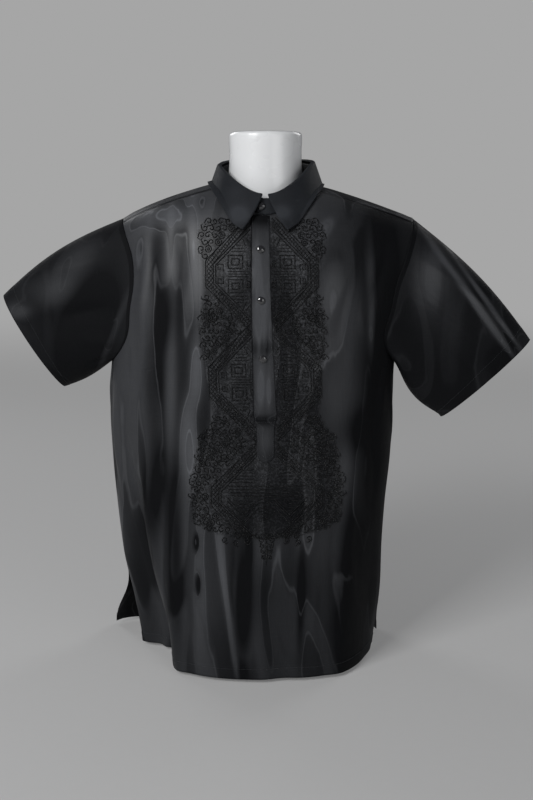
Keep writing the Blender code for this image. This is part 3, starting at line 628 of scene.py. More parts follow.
def neck_corner(side):
    """The angle round the neck where the yoke's front seam starts."""
    low, high = 0.0, pi / 2
    for _ in range(SEARCH_STEPS):
        middle = (low + high) / 2
        if shoulder_place(*neck_plan(side * middle))[1] < FRONT_SEAM:
            low = middle
        else:
            high = middle
    return side * middle


def front_place(x, height):
    """Across and climb of the front at given x and heights."""
    half_width, _, _, _, shift = read_table(BODY, height)
    share = np.clip((x - shift) / half_width, -1, 1)
    across = np.arcsin(share) / edge_angle(height, np.full(np.shape(height), -1.0))
    rise = UNDERARM + (height - UNDERARM) / (ridge(across) - UNDERARM)
    return across, np.where(height <= UNDERARM, height, rise)


def on_front(x, height, proud=0.0):
    """Points and normals a little proud of the front."""
    x, height = np.asarray(x, float), np.asarray(height, float)
    across, climb = front_place(x, height)
    side = np.full(x.shape, -1.0)
    normal = slopes(skin, across, climb, side)
    return skin(across, climb, side) + normal * np.asarray(proud)[..., None], normal


# Making objects

# The section of a thread: across and up, as shares of half its width and of its height
THREAD_SECTION = ((-1.0, -0.15), (-0.62, 0.72), (0.0, 1.0), (0.62, 0.72), (1.0, -0.15))
THREAD_TAPER = 0.35  # how thick a thread's ends are


def new_object(name, points, faces, finish, stands_for=()):
    """A smooth-shaded mesh object, set down in the frame and riding on its one body."""
    mesh = bpy.data.meshes.new(name)
    mesh.from_pydata((np.asarray(points) + MIDDLE).tolist(), [], faces)
    mesh.materials.append(finish)
    mesh.shade_smooth()
    made = bpy.data.objects.new(name, mesh)
    bpy.context.scene.collection.objects.link(made)
    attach(made, "root")
    if stands_for:
        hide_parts(*stands_for)
    return made


def grid_faces(rows, columns, closed=False, flip=False):
    """Quads between rows of equal length; a closed grid joins each row's ends."""
    r, c = np.mgrid[0 : rows - 1, 0 : columns if closed else columns - 1]
    d = (c + 1) % columns
    this, following = r * columns, (r + 1) * columns
    quads = np.stack((this + c, this + d, following + d, following + c), -1).reshape(-1, 4)
    return (quads[:, ::-1] if flip else quads).tolist()


def store(made, name, values):
    """Keep a value for each point of a mesh, for its finish to read."""
    data = made.data.attributes.new(name, "FLOAT", "POINT").data
    data.foreach_set("value", np.asarray(values, np.float32).ravel())


def watering(piece, points, facing):
    """Painted light and shade at the listed patches, partly the light and dark of the watering, and the
    field whose contours show as watering.
    """
    x, z = points[..., 0], points[..., 2]
    glow, field = np.zeros(x.shape), np.zeros(x.shape)
    for patch in starmap(Patch, LIGHT_AND_SHADE_PATCHES.get(piece, ())):
        up = z - patch.z
        out = x - patch.x - patch.lean * up
        reach = (out / patch.half_width) ** 2 + (up / patch.half_height) ** 2
        place = np.exp(-((reach * PATCH_CORE) ** PATCH_EDGE)) * facing
        glow += patch.light * place
        field += abs(patch.light) * place
    return np.clip(glow, -1, 1), field


def calmness(node, points):
    """How far the watering dies away and the cloth darkens at each point of a piece; on the front's side
    towards the wearer's left this is painted shade.
    """
    x, z = points[..., 0], points[..., 2]
    if node != "front":
        return np.full(x.shape, CALM.get(node, 0.0))
    side_shade = CALM_SHADE * smooth((x - CALM_SHADE_FROM) / CALM_SHADE_WIDTH)
    below = CALM_HEM * smooth((CALM_HEM_TOP - z) / CALM_HEM_FADE)
    return np.maximum(side_shade, below * smooth((x - CALM_HEM_FROM) / CALM_HEM_WIDTH))


def cloth(name, rows, finish, node, thickness, closed=False, flip=False, facing=1.0):
    """Cloth: a fine grid of points on its outer face, thickened inwards."""
    rows = np.asarray(rows)
    count, columns = rows.shape[:2]
    faces = grid_faces(count, columns, closed, flip)
    made = new_object(name, rows.reshape(-1, 3), faces, finish, (node,))
    glow, field = watering(node, rows, facing)
    if node.startswith("sleeve"):
        # painted shade: the sleeve rows beside the armhole seam are darkened
        glow[:SHADED_ROWS] = -1.0
    store(made, "glow", glow)
    store(made, "field", field)
    store(made, "calm", calmness(node, rows))
    shell = made.modifiers.new("wall", "SOLIDIFY")
    shell.thickness = thickness
    shell.offset = -1.0
    shell.use_even_offset = False
    return made


def cords(name, lines, finish, width, height):
    """Raised threads: closed strips of a domed section along lines of (points, normals)."""
    points, faces, along = [], [], []
    start = 0
    size = len(THREAD_SECTION)
    for line, normal in lines:
        count = len(line)
        ahead = unit(np.gradient(line, axis=0))
        across = unit(np.cross(normal, ahead))
        ends = np.ones(count)
        ends[0] = ends[-1] = THREAD_TAPER
        half, rise = (width / 2 * ends)[:, None], (height * ends)[:, None]
        ring = [line + across * s * half + normal * h * rise for s, h in THREAD_SECTION]
        points.append(np.stack(ring, 1).reshape(-1, 3))
        along.append(np.repeat(run_along(line), size))
        faces += [[start + i for i in quad] for quad in grid_faces(count, size, closed=True, flip=True)]
        faces.append([start + i for i in range(size)])
        faces.append([start + (count - 1) * size + i for i in reversed(range(size))])
        start += count * size
    made = new_object(name, np.concatenate(points), faces, finish, ())
    store(made, "along", np.concatenate(along))


# Body panels

BODY_ROWS = 130
CHEST_ROWS = 95
SIDE_COLUMNS = 66
NECK_COLUMNS = 46
NECK_SAMPLES = 400
BACK_CHEST_ROWS = 59
CLIMB_POWER = 1.25  # above 1, rows lie closer together near the underarm

# Yoke
YOKE_PROUD = 0.0004
YOKE_STEP = 0.004
YOKE_LAP = 0.006  # how far its front edge runs past the seam, in reach
YOKE_LIFT = 0.001
YOKE_SIDE_POINTS = 70
YOKE_BACK_POINTS = 148
YOKE_ROWS = 44
DRAG_DEPTH = 0.0009
DRAG_TURNS = 19
DRAG_LEAN = 5
DRAG_BREAK = 7
DRAG_SHIFT = 1.1
DRAG_HOLD = 0.1  # how near the armhole and the neck the drag lines die away
DRAG_START = 0.28


def neck_arc(count):
    """The neck seam of the front as (across, reach), from corner to corner."""
    angles = np.linspace(neck_corner(-1), neck_corner(1), count)
    return shoulder_place(*neck_plan(angles))


def front_grid():
    """The one-piece front, from side seam to side seam."""
    neck = neck_arc(NECK_SAMPLES)
    ends = neck[0][0], neck[0][-1]
    left = np.linspace(-1, ends[0], SIDE_COLUMNS + 1)
    middle = np.linspace(ends[0], ends[1], NECK_COLUMNS + 1)[1:-1]
    across = np.concatenate((left, middle, np.linspace(ends[1], 1, SIDE_COLUMNS + 1)))
    seam = rise_of(across, np.full(across.shape, FRONT_SEAM))
    dip = rise_of(across, np.interp(across, *neck))
    top = np.where((across > ends[0]) & (across < ends[1]), dip, seam)
    body = np.linspace(HEM, UNDERARM, BODY_ROWS + 1)[:, None] + 0 * across
    share = np.linspace(0, 1, CHEST_ROWS + 1)[1:, None] ** CLIMB_POWER
    return skin(across, np.concatenate((body, UNDERARM + share * top)), np.float64(-1))


def back_grid():
    """The back below the yoke."""
    across = np.linspace(-1, 1, 2 * SIDE_COLUMNS + NECK_COLUMNS + 1)
    body = np.linspace(HEM, UNDERARM, BODY_ROWS + 1)
    chest = UNDERARM + np.linspace(0, 1, BACK_CHEST_ROWS + 1)[1:] ** CLIMB_POWER * BACK_SEAM_RISE
    climb = np.concatenate((body, chest))[:, None]
    return skin(across, climb, np.float64(1))


def nudged(surface, across, reach, step_across, step_reach):
    """The change between two neighbours of a place on the yoke."""
    ahead = surface(np.clip(across + step_across, -1, 1), np.clip(reach + step_reach, -1, 1))
    return ahead - surface(np.clip(across - step_across, -1, 1), np.clip(reach - step_reach, -1, 1))


def yoke_skin(across, reach, proud=YOKE_PROUD):
    """Places on the yoke, with soft drag lines that run out from the neck."""
    flat = shoulder_point(across, reach)
    one = nudged(shoulder_point, across, reach, YOKE_STEP, 0.0)
    two = nudged(shoulder_point, across, reach, 0.0, YOKE_STEP)
    normal = unit(np.cross(one, two))
    lines = np.sin(reach * DRAG_TURNS + across * DRAG_LEAN) * np.sin(reach * DRAG_BREAK + DRAG_SHIFT)
    held = smooth((1 - np.abs(across)) / DRAG_HOLD) * smooth((np.abs(across) - DRAG_START) / DRAG_HOLD)
    return flat + normal * (proud + lines * DRAG_DEPTH * held)[..., None], normal


def yoke_rim():
    """The yoke's outer edge as (across, reach): armhole, back seam, armhole."""
    rise = BACK_SEAM_RISE + YOKE_LIFT
    arm = np.linspace(FRONT_SEAM - YOKE_LAP, reach_of(1.0, rise, 1), YOKE_SIDE_POINTS)
    across = np.linspace(-1, 1, YOKE_BACK_POINTS + 2)[1:-1]
    ones = np.ones(arm.shape)
    return np.concatenate((-ones, across, ones)), np.concatenate((arm, reach_of(across, rise, 1), arm[::-1]))


def yoke_grid():
    """The yoke, a horseshoe round the neck from one front seam to the other."""
    across, reach = yoke_rim()
    start, end = neck_corner(-1), neck_corner(1)
    angles = np.linspace(start, end - 2 * pi, len(across))
    inner_across, inner_reach = shoulder_place(*neck_plan(angles))
    inner_reach[[0, -1]] = FRONT_SEAM - YOKE_LAP
    share = np.linspace(0, 1, YOKE_ROWS)
    a = inner_across[:, None] + (across - inner_across)[:, None] * share
    r = inner_reach[:, None] + (reach - inner_reach)[:, None] * share
    return yoke_skin(a, r)[0]


# Sleeves

SLEEVE_AROUND = 168
SLEEVE_ALONG = 84
CUFF_TURN = 0.90  # share of the way along where the cuff's stitching runs
CUFF_PROUD = 0.0004
CUFF_STEP = 0.01
ARMHOLE_SAMPLES = 60
ARMHOLE_POWER = 1.6  # above 1, points lie closer together near the underarm
RIDGE_SAMPLES = 40


def armhole(side):
    """The armhole seam from the underarm up the front, over the ridge and down the back."""
    up = np.linspace(0, 1, ARMHOLE_SAMPLES) ** ARMHOLE_POWER
    front = body_point(side, UNDERARM + up * rise_of(side, FRONT_SEAM), -1.0)
    reach = np.linspace(FRONT_SEAM, reach_of(1.0, BACK_SEAM_RISE, 1), RIDGE_SAMPLES + 1)[1:]
    over = shoulder_point(np.full(RIDGE_SAMPLES, side), reach)
    back = body_point(side, UNDERARM + up[-2::-1] * BACK_SEAM_RISE, 1.0)
    return np.concatenate((front, over, back[:-1]))


def even_ring(points, count):
    """A closed line, cut into even lengths."""
    closed = np.vstack((points, points[:1]))
    run = run_along(closed)
    return at_run(np.linspace(0, run[-1], count, endpoint=False), run, closed)


def sleeve_grid(name, side):
    """Rings of points from the armhole to the cuff."""
    start = even_ring(armhole(side), SLEEVE_AROUND)
    around = np.arange(SLEEVE_AROUND) / SLEEVE_AROUND
    cuff = CUFFS[name]
    top = np.array((cuff.top_x, cuff.y, cuff.top_z))
    low = np.array((cuff.low_x, cuff.y, cuff.low_z))
    end = (top + low) / 2 - (top - low) / 2 * np.cos(2 * pi * around)[:, None]
    end[:, 1] -= cuff.half_thickness * np.sin(2 * pi * around)
    axis = unit(end.mean(0) - start.mean(0))
    along = np.linspace(0, 1, SLEEVE_ALONG)[:, None]
    place = start + (end - start) * along[..., None]
    centre = start.mean(0) + (end.mean(0) - start.mean(0)) * along[..., None]
    out = place - centre
    out = unit(out - axis * (out @ axis)[..., None])
    push = CUFF_PROUD * smooth((along - CUFF_TURN) / CUFF_STEP) + 0 * around
    for fold in starmap(SleeveFold, SLEEVE_FOLDS[name]):
        t = np.clip((along - fold.start) / (fold.end - fold.start), 0, 1)
        apart = np.abs(around - fold.around - fold.lean * along)
        apart = np.minimum(apart, 1 - apart)
        push = push + fold.depth * np.sin(pi * t) * bell(apart / fold.width)
    return place + out * push[..., None]


# Collar

STAND_COLUMNS = 200
STAND_ROWS = 14
FALL_COLUMNS = 190
FALL_ROWS = 40
FOLD_ROWS = 9


def stand_point(angle, up, inward=0.0):
    """Places on the stand: up is 0 at the neck seam and 1 at its top."""
    x, y = neck_plan(angle, -SEAM - inward - STAND_LEAN * up)
    height = STAND_FRONT + (STAND_BACK - STAND_FRONT) * smooth(np.abs(angle) / pi)
    drop = FALL_SIDE_DROP * np.maximum(0.0, -np.sin(angle)) ** 2
    z = neckline(angle) + SEAM + (height - drop) * up
    return np.stack(np.broadcast_arrays(x, y, z), -1)


def stand_grid():
    """The band round the neck; its ends lap in front, the wearer's left over the right."""
    turn = np.linspace(-STAND_LAP, 2 * pi + STAND_LAP, STAND_COLUMNS)
    angle = np.where(turn <= pi, turn, turn - 2 * pi)
    inward = STAND_SPIRAL * (turn + STAND_LAP) / (2 * pi + 2 * STAND_LAP)
    return stand_point(angle, np.linspace(0, 1, STAND_ROWS)[:, None], inward)


def fall_point(turn, out):
    """Places on the leaf; turn goes from -1 at one front edge to 1 at the other."""
    turn, out = np.broadcast_arrays(np.asarray(turn, float), np.asarray(out, float))
    side = np.where(turn < 0, -1.0, 1.0)
    front = FALL_FRONT + FALL_SPREAD * np.maximum(out, 0.0)
    angle = side * (pi + (front - pi) * np.abs(turn))
    top = stand_point(angle, 1.0)
    away = unit(np.stack((top[..., 0] - NECK_X, top[..., 1] - NECK_Y, 0 * out), -1))
    fold = top + np.array((0, 0, FALL_FOLD_LIFT + FALL_FOLD_RADIUS))
    bend = pi * (1 + np.minimum(out, 0.0))
    turned = fold + away * (FALL_FOLD_RADIUS * (FALL_FOLD_IN - np.cos(bend)))[..., None]
    turned[..., 2] += FALL_FOLD_RADIUS * (np.sin(bend) - FALL_FOLD_DROP)
    slope = np.radians(FALL_SLOPE + FALL_SIDE_SLOPE * np.sin(np.minimum(np.abs(angle), pi)) ** 2)
    share = 1 - np.minimum(np.abs(angle) / (FALL_POINT_REACH * pi), 1.0)
    longer = (FALL_POINT_LENGTH - FALL_BACK_LENGTH) * share**FALL_POINT_POWER
    length = (FALL_BACK_LENGTH + longer) * out
    leaf = fold + away * (FALL_FOLD_RADIUS * FALL_FOLD_OUT + length * np.cos(slope))[..., None]
    leaf[..., 2] -= length * np.sin(slope)
    under = shoulder_point(*shoulder_place(leaf[..., 0], leaf[..., 1]))
    least = under[..., 2] + COLLAR_CLOTH + FALL_CLEAR
    leaf[..., 2] = np.maximum(leaf[..., 2], least)
    return np.where((out < 0)[..., None], turned, leaf)


def fall_grid():
    """The turned-down collar, folded over the top of the stand."""
    fold = np.linspace(FALL_FOLD_START, 0, FOLD_ROWS + 1)[:-1]
    out = np.concatenate((fold, np.linspace(0, 1, FALL_ROWS)))
    return fall_point(np.linspace(1, -1, FALL_COLUMNS), out[:, None])


# Placket

PLACKET_END_ROWS = 15
PLACKET_ROWS = 200
PLACKET_COLUMNS = 25
PLACKET_SHEET = 0.0009
EDGE_TURN = (0.0004, 10)  # how far the edges turn in, and how sharply
OVERLAP_DROP = 0.0012  # the edge that lies under the other
PUCKER = 0.0005
PUCKER_TURNS = 95
PUCKER_BREAK = 41
RIPPLE = 0.0003
RIPPLE_TURNS = 240
RIPPLE_START = 0.6
SEAM_DEPTH = 0.0007
SEAM_WIDTH = 0.0012


def placket_at(across, height):
    """Places and normals on the placket; across goes from -1 to 1 between its edges."""
    half, centre = read_table(PLACKET, height)
    below = np.maximum(PLACKET[0, 0] - height, 0.0)
    half = np.where(below > 0, np.sqrt(np.maximum(PLACKET_END**2 - below**2, NEAR)), half)
    edge = EDGE_TURN[0] * np.abs(across) ** EDGE_TURN[1] + OVERLAP_DROP * smooth((across + 0.2) / 1.2)
    pucker = PUCKER * np.sin(height * PUCKER_TURNS) * np.sin(height * PUCKER_BREAK + 1) * (1 - across**2)
    held = smooth((np.abs(across) - RIPPLE_START) / (1 - RIPPLE_START))
    ripple = RIPPLE * np.sin(height * RIPPLE_TURNS + across * 2) * held
    seam = -SEAM_DEPTH * bell((height - PLACKET_SEAM) / SEAM_WIDTH)
    proud = PLACKET_PROUD - edge + pucker + ripple + seam
    return on_front(centre + half * across, height, proud)


def placket_grid():
    """Rows up the placket from its rounded end."""
    turn = np.linspace(radians(86), 0, PLACKET_END_ROWS + 1)[:-1]
    end = PLACKET[0, 0] - PLACKET_END * np.sin(turn)
    height = np.concatenate((end, np.linspace(PLACKET[0, 0], PLACKET_TOP, PLACKET_ROWS)))
    return placket_at(np.linspace(-1, 1, PLACKET_COLUMNS)[None, :], height[:, None])[0]


# Buttons

# Rings from the back of a button to its flat top: share of the radius, height
BUTTON_RINGS = ((0.92, 0.0), (1.0, 0.0009), (1.0, 0.0018), (0.72, 0.0029), (0.44, 0.0034))
BUTTON_SIDES = 14
TURNED_RING = 3  # this ring is turned by half a facet
COLLAR_BUTTON_ANGLE = -radians(5)
BUTTON_CLEAR = 0.0003


def button(name, place, normal, node):
    """A round cut button: a facetted dome with a flat top on a bevelled rim."""
    normal = unit(np.asarray(normal))
    side = unit(np.cross(np.array((0.0, 0.0, 1.0)), normal))
    up = np.cross(normal, side)
    points = []
    for i, (share, lift) in enumerate(BUTTON_RINGS):
        turn = 2 * pi * (np.arange(BUTTON_SIDES) + 0.5 * (i == TURNED_RING)) / BUTTON_SIDES
        round_it = np.cos(turn)[:, None] * side + np.sin(turn)[:, None] * up
        points.append(place + round_it * BUTTON_RADIUS * share + normal * lift)
    quads = grid_faces(len(BUTTON_RINGS), BUTTON_SIDES, closed=True)
    cut = [[f[0], f[1], f[2]] for f in quads] + [[f[0], f[2], f[3]] for f in quads]
    cut.append(list(reversed(range(BUTTON_SIDES))))
    cut.append([(len(BUTTON_RINGS) - 1) * BUTTON_SIDES + i for i in range(BUTTON_SIDES)])
    made = new_object(name, np.concatenate(points), cut, finish("button glass"), (node,))
    made.data.shade_flat()


# Embroidery, drawn on one half: u from the centre line to the wearer's left, and height

MITRE = 0.41  # how much an upright side shortens for each metre of inset
DENSE_STEP = 0.0016
INNER_LINE = 0.0036
LATTICE_PITCH = 0.0066
LATTICE_STEP = 0.0011
LATTICE_SLOPE = 1.18
LATTICE_CLEAR = 0.0010
ZIGZAG = ((0.0, -0.0035), (0.0125, -0.0035), (0.0345, -0.0270), (0.0600, -0.0015))
KEY = ((0.0, 0.0), (0.0, 0.011), (0.009, 0.011), (0.009, 0.004), (0.004, 0.004), (0.004, 0.007))
CURL_POINTS = 18
CURL_TURNS = 0.90
CURL_CLOSE = 0.70  # how much of its size a curl loses
STEM_REACH = (0.9, 0.45)
STEM_LEAN = 1.9
STEM_LENGTH = 1.25
ROUND_POINTS = 15

def frame_side(middle, half_width, half_side, inset=0.0):
    """The sloped and upright lines of one lozenge frame, from its foot to its head."""
    reach = half_width - inset
    side = half_side - inset * MITRE
    head = middle + side + reach
    foot = middle - side - reach
    return np.array(((0.0, foot), (reach, middle - side), (reach, middle + side), (0.0, head)))


def dense(line, step=DENSE_STEP):
    """A line of corners with points added along it."""
    line = np.asarray(line, float)
    run = run_along(line)
    even = np.linspace(0, run[-1], max(3, int(run[-1] / step) + 1))
    return at_run(np.unique(np.concatenate((even, run))), run, line)


def inside_frame(points, middle, half_width, half_side, inset):
    """Which points lie inside a frame."""
    u, up = np.abs(points[:, 0]), np.abs(points[:, 1] - middle)
    reach = half_width - inset
    side = half_side - inset * MITRE
    return (u < reach) & (u + up < side + reach)


def curl(u, z, size, turn, hand, turns=CURL_TURNS):
    """A scroll: a spiral with a short stem."""
    t = np.linspace(0, 1, CURL_POINTS)
    radius = size * (1 - CURL_CLOSE * t)
    angle = turn + hand * 2 * pi * turns * t
    points = np.stack((u + radius * np.cos(angle), z + radius * np.sin(angle)), -1)
    stem = []
    for back in STEM_REACH:
        lean = turn - hand * STEM_LEAN * back
        stem.append(points[0] + np.array((np.cos(lean), np.sin(lean))) * size * STEM_LENGTH * back)
    return np.vstack((*stem, points))


def ring(u, z, radius):
    """A round."""
    t = np.linspace(0, 2 * pi, ROUND_POINTS)
    return np.stack((u + radius * np.cos(t), z + radius * np.sin(t)), -1)


def bar(start, end, z):
    """A level line."""
    return dense(((start, z), (end, z)))


def square_ring(u, z, wide, high):
    """An upright rectangle."""
    w, h = wide / 2, high / 2
    return dense(((u - w, z - h), (u + w, z - h), (u + w, z + h), (u - w, z + h), (u - w, z - h)))


Frame = namedtuple("Frame", "middle half_width half_side")
FRAMES = (Frame(0.6240, 0.0830, 0.0190), Frame(0.4640, 0.0840, 0.0220), Frame(0.2900, 0.0850, 0.0140))
BAND = 0.0115  # width of the latticed band inside a frame's edge
FRAME_FOOT = 0.2290  # the lowest frame is cut off at this height
OUTLINE = np.array(
    (
        (0.226, 0.030),
        (0.236, 0.086),
        (0.250, 0.112),
        (0.280, 0.1165),
        (0.306, 0.1160),
        (0.345, 0.109),
        (0.380, 0.102),
        (0.412, 0.078),
        (0.440, 0.084),
        (0.473, 0.086),
        (0.510, 0.092),
        (0.546, 0.095),
        (0.575, 0.090),
        (0.600, 0.084),
        (0.640, 0.087),
        (0.687, 0.095),
        (0.700, 0.080),
    )
)
CENTRE_TILT = 0.010  # how much further the wearer's left half reaches, as a share


def half_outline(height):
    """How far the embroidery reaches from its centre line."""
    return np.interp(height, OUTLINE[:, 0], OUTLINE[:, 1])


def centre_line(height):
    """The embroidery's own centre line, which the placket follows."""
    return read_table(PLACKET, np.maximum(height, 0.356))[1] + 0.001


def stretches(line, keep):
    """The parts of a line whose points are kept."""
    cuts = np.flatnonzero(np.diff(keep.astype(int))) + 1
    pairs = zip(np.split(line, cuts), np.split(keep, cuts))
    return [piece for piece, kept in pairs if kept[0] and len(piece) > 2]


def frame_lines():
    """Double outlines of the three frames and the lattice between them."""
    bold, fine = [], []
    for f in FRAMES:
        for inset in (0.0, BAND, BAND + INNER_LINE):
            line = dense(frame_side(*f, inset))
            bold += stretches(line, line[:, 1] > FRAME_FOOT)
        reach, top = f.half_width, f.half_side + f.half_width
        for slope in (-1, 1):
            for start in np.arange(-2 * top, 2 * top, LATTICE_PITCH):
                t = np.arange(0.0, reach, LATTICE_STEP)
                line = np.stack((t, f.middle + start + slope * t * LATTICE_SLOPE), -1)
                keep = inside_frame(line, *f, LATTICE_CLEAR) & ~inside_frame(line, *f, BAND)
                fine += stretches(line, keep & (line[:, 1] > FRAME_FOOT))
    return bold, fine


def inner_motifs():
    """Nested squares, keys and bars inside the frames."""
    bold, fine = [], []
    for f in FRAMES[:2]:
        for up in (-1, 1):
            u, z = 0.0385, f.middle + up * 0.0175
            bold += [square_ring(u, z, 0.0215, 0.0190), square_ring(u, z, 0.0110, 0.0090)]
            for k in range(3):
                w = 0.022 - 0.005 * k
                z_bar = f.middle + up * (0.0325 + 0.0046 * k)
                fine.append(bar(0.034 - w / 2, 0.034 + w / 2, z_bar))
            fine.append(dense([(0.0565 + a * 0.9, f.middle + up * (0.003 + b)) for a, b in KEY]))
            fine.append(dense([(0.0210 - a * 0.5, f.middle + up * (0.006 + b * 1.2)) for a, b in KEY]))
            for k in range(2):
                low, high = f.middle + up * (0.045 - 0.0052 * k), f.middle + up * 0.0535
                fine.append(dense(((0.0175 + 0.0050 * k, low), (0.0245 + 0.0045 * k, high))))
        for k in (-1, 0, 1):
            fine.append(bar(0.018, 0.050, f.middle + 0.0036 * k))
    last = FRAMES[2]
    for k, up in enumerate((0.0165, 0.0115, 0.0065, 0.0015)):
        bold.append(bar(0.0, 0.060 - 0.002 * k, last.middle + up))
    for drop in (0.0, 0.0050, 0.0130):
        bold.append(dense([(u, last.middle + up - drop) for u, up in ZIGZAG]))
    for k in range(4):
        w = 0.028 - 0.006 * k
        z = last.middle - 0.006 - 0.0050 * k
        fine.append(bar(0.0345 - w / 2, 0.0345 + w / 2, z))
        fine.append(bar(0.0, 0.013 - 0.0026 * k, z - 0.016))
    for k in range(5):
        fine.append(bar(0.018, 0.056 - 0.0062 * k, last.middle + 0.0225 + 0.0048 * k))
    return bold, fine


SCROLL_SEED = 11
SCROLL_PITCH = 0.0100
SCROLL_FOOT = 0.230
SCROLL_TOP = 0.702
SCROLL_START = 0.004  # from the centre line
SCROLL_EDGE = 0.001
SCROLL_CLEAR = 0.0050  # from the frames
SCROLL_SHIFT = 0.0008
SCROLL_SIZES = (0.0038, 0.0052)
EDGE_SCROLL = 0.0050
ROSE_EVERY = 5
ROSE_SIZES = (0.0047, 0.0018)


def scrolls():
    """Curls, rounds and leaves that fill the ground between the frames and the outline."""
    rng = np.random.default_rng(SCROLL_SEED)
    found = []
    pitch = SCROLL_PITCH
    for row, z in enumerate(np.arange(SCROLL_FOOT, SCROLL_TOP, pitch)):
        limit = half_outline(z)
        for u in np.arange(SCROLL_START + pitch / 2 * (row % 2), limit - SCROLL_EDGE, pitch):
            here = np.array(((u, z),))
            framed = any(inside_frame(here, *f, -SCROLL_CLEAR)[0] for f in FRAMES)
            if framed and z > FRAME_FOOT + 0.006:
                continue
            u += rng.uniform(-SCROLL_SHIFT, SCROLL_SHIFT)
            size = rng.uniform(*SCROLL_SIZES)
            if limit - u < pitch:
                found.append(curl(u, z, EDGE_SCROLL, rng.uniform(-0.8, 0.8), 1 if row % 2 else -1, 1.0))
            elif (row + int(u / pitch)) % ROSE_EVERY == 0:
                found += [ring(u, z, rose) for rose in ROSE_SIZES]
            else:
                found.append(curl(u, z, size, rng.uniform(0, 2 * pi), rng.choice((-1, 1))))
    for z in (0.5640, 0.5560):
        found += [ring(0.0740, 0.5600, 0.0062), ring(0.0740, z, 0.0030)]
    for u, z in ((0.0470, 0.2200), (0.0640, 0.2240), (0.0300, 0.2230)):
        found.append(curl(u, z, 0.0044, -pi / 2, 1, 1.2))
    for k, z in enumerate((0.2240, 0.2150, 0.2060, 0.1970)):
        found.append(curl(0.0075 - 0.001 * k, z, 0.0040 - 0.0004 * k, 0.6, -1, 0.9))
        found.append(np.array(((0.0005, z + 0.004), (0.006, z + 0.001), (0.011 - 0.0015 * k, z + 0.0035))))
    found.append(np.array(((0.0, 0.2280), (0.0006, 0.2100), (0.0, 0.1860))))
    return found


def clear_of_placket(line):
    """The stretches of a line that no placket or collar covers."""
    half = read_table(PLACKET, np.maximum(line[:, 1], 0.356))[0]
    over = (line[:, 1] > PLACKET[0, 0] - PLACKET_END) & (line[:, 0] < half + 0.0016)
    return stretches(line, ~over & (line[:, 1] < 0.706))


def sewn_lines(halves):
    """Both halves of a design, laid on the front as (points, normals)."""
    flat = []
    for line in halves:
        for piece in clear_of_placket(np.asarray(line, float)):
            for hand in (-1, 1):
                x = centre_line(piece[:, 1]) + hand * piece[:, 0] * (1 + CENTRE_TILT * hand)
                flat.append(np.stack((x, piece[:, 1]), -1))
    together = np.concatenate(flat)
    points, normals = on_front(together[:, 0], together[:, 1], 0.0)
    ends = np.cumsum([len(line) for line in flat])[:-1]
    return list(zip(np.split(points, ends), np.split(normals, ends)))


# Stitching

STITCH = 0.0024
STITCH_GAP = 0.0008
STITCH_RISE = 0.6  # share of its width
STITCH_LIFT = 0.00005
YOKE_STITCH_PROUD = 0.0006
SEAM_TO_STITCH = 0.012
LONG_POINTS = 500
SLIT_POINTS = 160
YOKE_SEAM_POINTS = 300
SHOULDER_POINTS = 120
PLACKET_POINTS = 260
SHORT_POINTS = 60
CROSS_POINTS = 30
HEM_STITCH = 0.995  # these are shares of the way from the middle to an edge
SLIT_STITCH = 0.978
SEAM_STITCH = 0.985
PLACKET_STITCH = 0.86
ROUND_STITCH = 0.9
LEAF_STITCH = 0.94
LEAF_END_STITCH = 0.955
LEAF_STEP = 0.004
PLACKET_STITCH_FOOT = 0.3585
PLACKET_CROSS = (0.4040, 0.4090)


def stitches(points, normals):
    """Short raised stitches along a line on cloth."""
    run = run_along(points)
    made = []
    for start in np.arange(0, run[-1] - STITCH, STITCH + STITCH_GAP):
        at = start + STITCH * np.array((0.0, 0.5, 1.0))
        made.append((at_run(at, run, points), unit(at_run(at, run, normals))))
    return made


def panel_line(across, climb, side):
    """Stitches along a line on a body panel."""
    across, climb = np.broadcast_arrays(np.asarray(across, float), np.asarray(climb, float))
    side = np.full(across.shape, float(side))
    return stitches(skin(across, climb, side), slopes(skin, across, climb, side))


def row_line(rows, row):
    """Stitches along one row of a grid of points."""
    normal = unit(np.cross(np.gradient(rows, axis=1), np.gradient(rows, axis=0)))
    return stitches(rows[row], normal[row])


# Finishes


def add(tree, kind, settings=None, **values):
    """A node with its settings and the defaults of its inputs."""
    made = tree.nodes.new(kind)
    for key, value in (settings or {}).items():
        setattr(made, key, value)
    for key, value in values.items():
        made.inputs[key.replace("_", " ")].default_value = value
    return made


def plug(tree, source, socket):
    """Join an output, or a plain number, to an input."""
    if isinstance(source, bpy.types.NodeSocket):
        tree.links.new(source, socket)
    else:
        socket.default_value = source


def sums(tree, operation, *sources):
    """One Math node."""
    made = add(tree, "ShaderNodeMath", {"operation": operation})
    for source, socket in zip(sources, made.inputs):
        plug(tree, source, socket)
    return made.outputs[0]


def plus(tree, *sources):
    """Two values added."""
    return sums(tree, "ADD", *sources)


def times(tree, *sources):
    """Two values multiplied."""
    return sums(tree, "MULTIPLY", *sources)


def scaled(tree, vector, scale):
    """Coordinates stretched by a scale for each axis."""
    made = add(tree, "ShaderNodeVectorMath", {"operation": "MULTIPLY"})
    plug(tree, vector, made.inputs[0])
    made.inputs[1].default_value = scale
    return made.outputs[0]


def noise(tree, vector, scale, detail=2.0, roughness=0.5, distortion=0.0):
    """One Noise Texture."""
    look = {"Scale": scale, "Detail": detail, "Roughness": roughness, "Distortion": distortion}
    made = add(tree, "ShaderNodeTexNoise", **look)
    plug(tree, vector, made.inputs["Vector"])
    return made.outputs["Fac"]


def ramp(tree, value, low, high, start=0.0, end=1.0):
    """A soft change from start to end as a value goes from low to high."""
    made = add(tree, "ShaderNodeMapRange", {"interpolation_type": "SMOOTHSTEP"})
    plug(tree, value, made.inputs["Value"])
    for socket, number in zip(("From Min", "From Max", "To Min", "To Max"), (low, high, start, end)):
        made.inputs[socket].default_value = number
    return made.outputs["Result"]


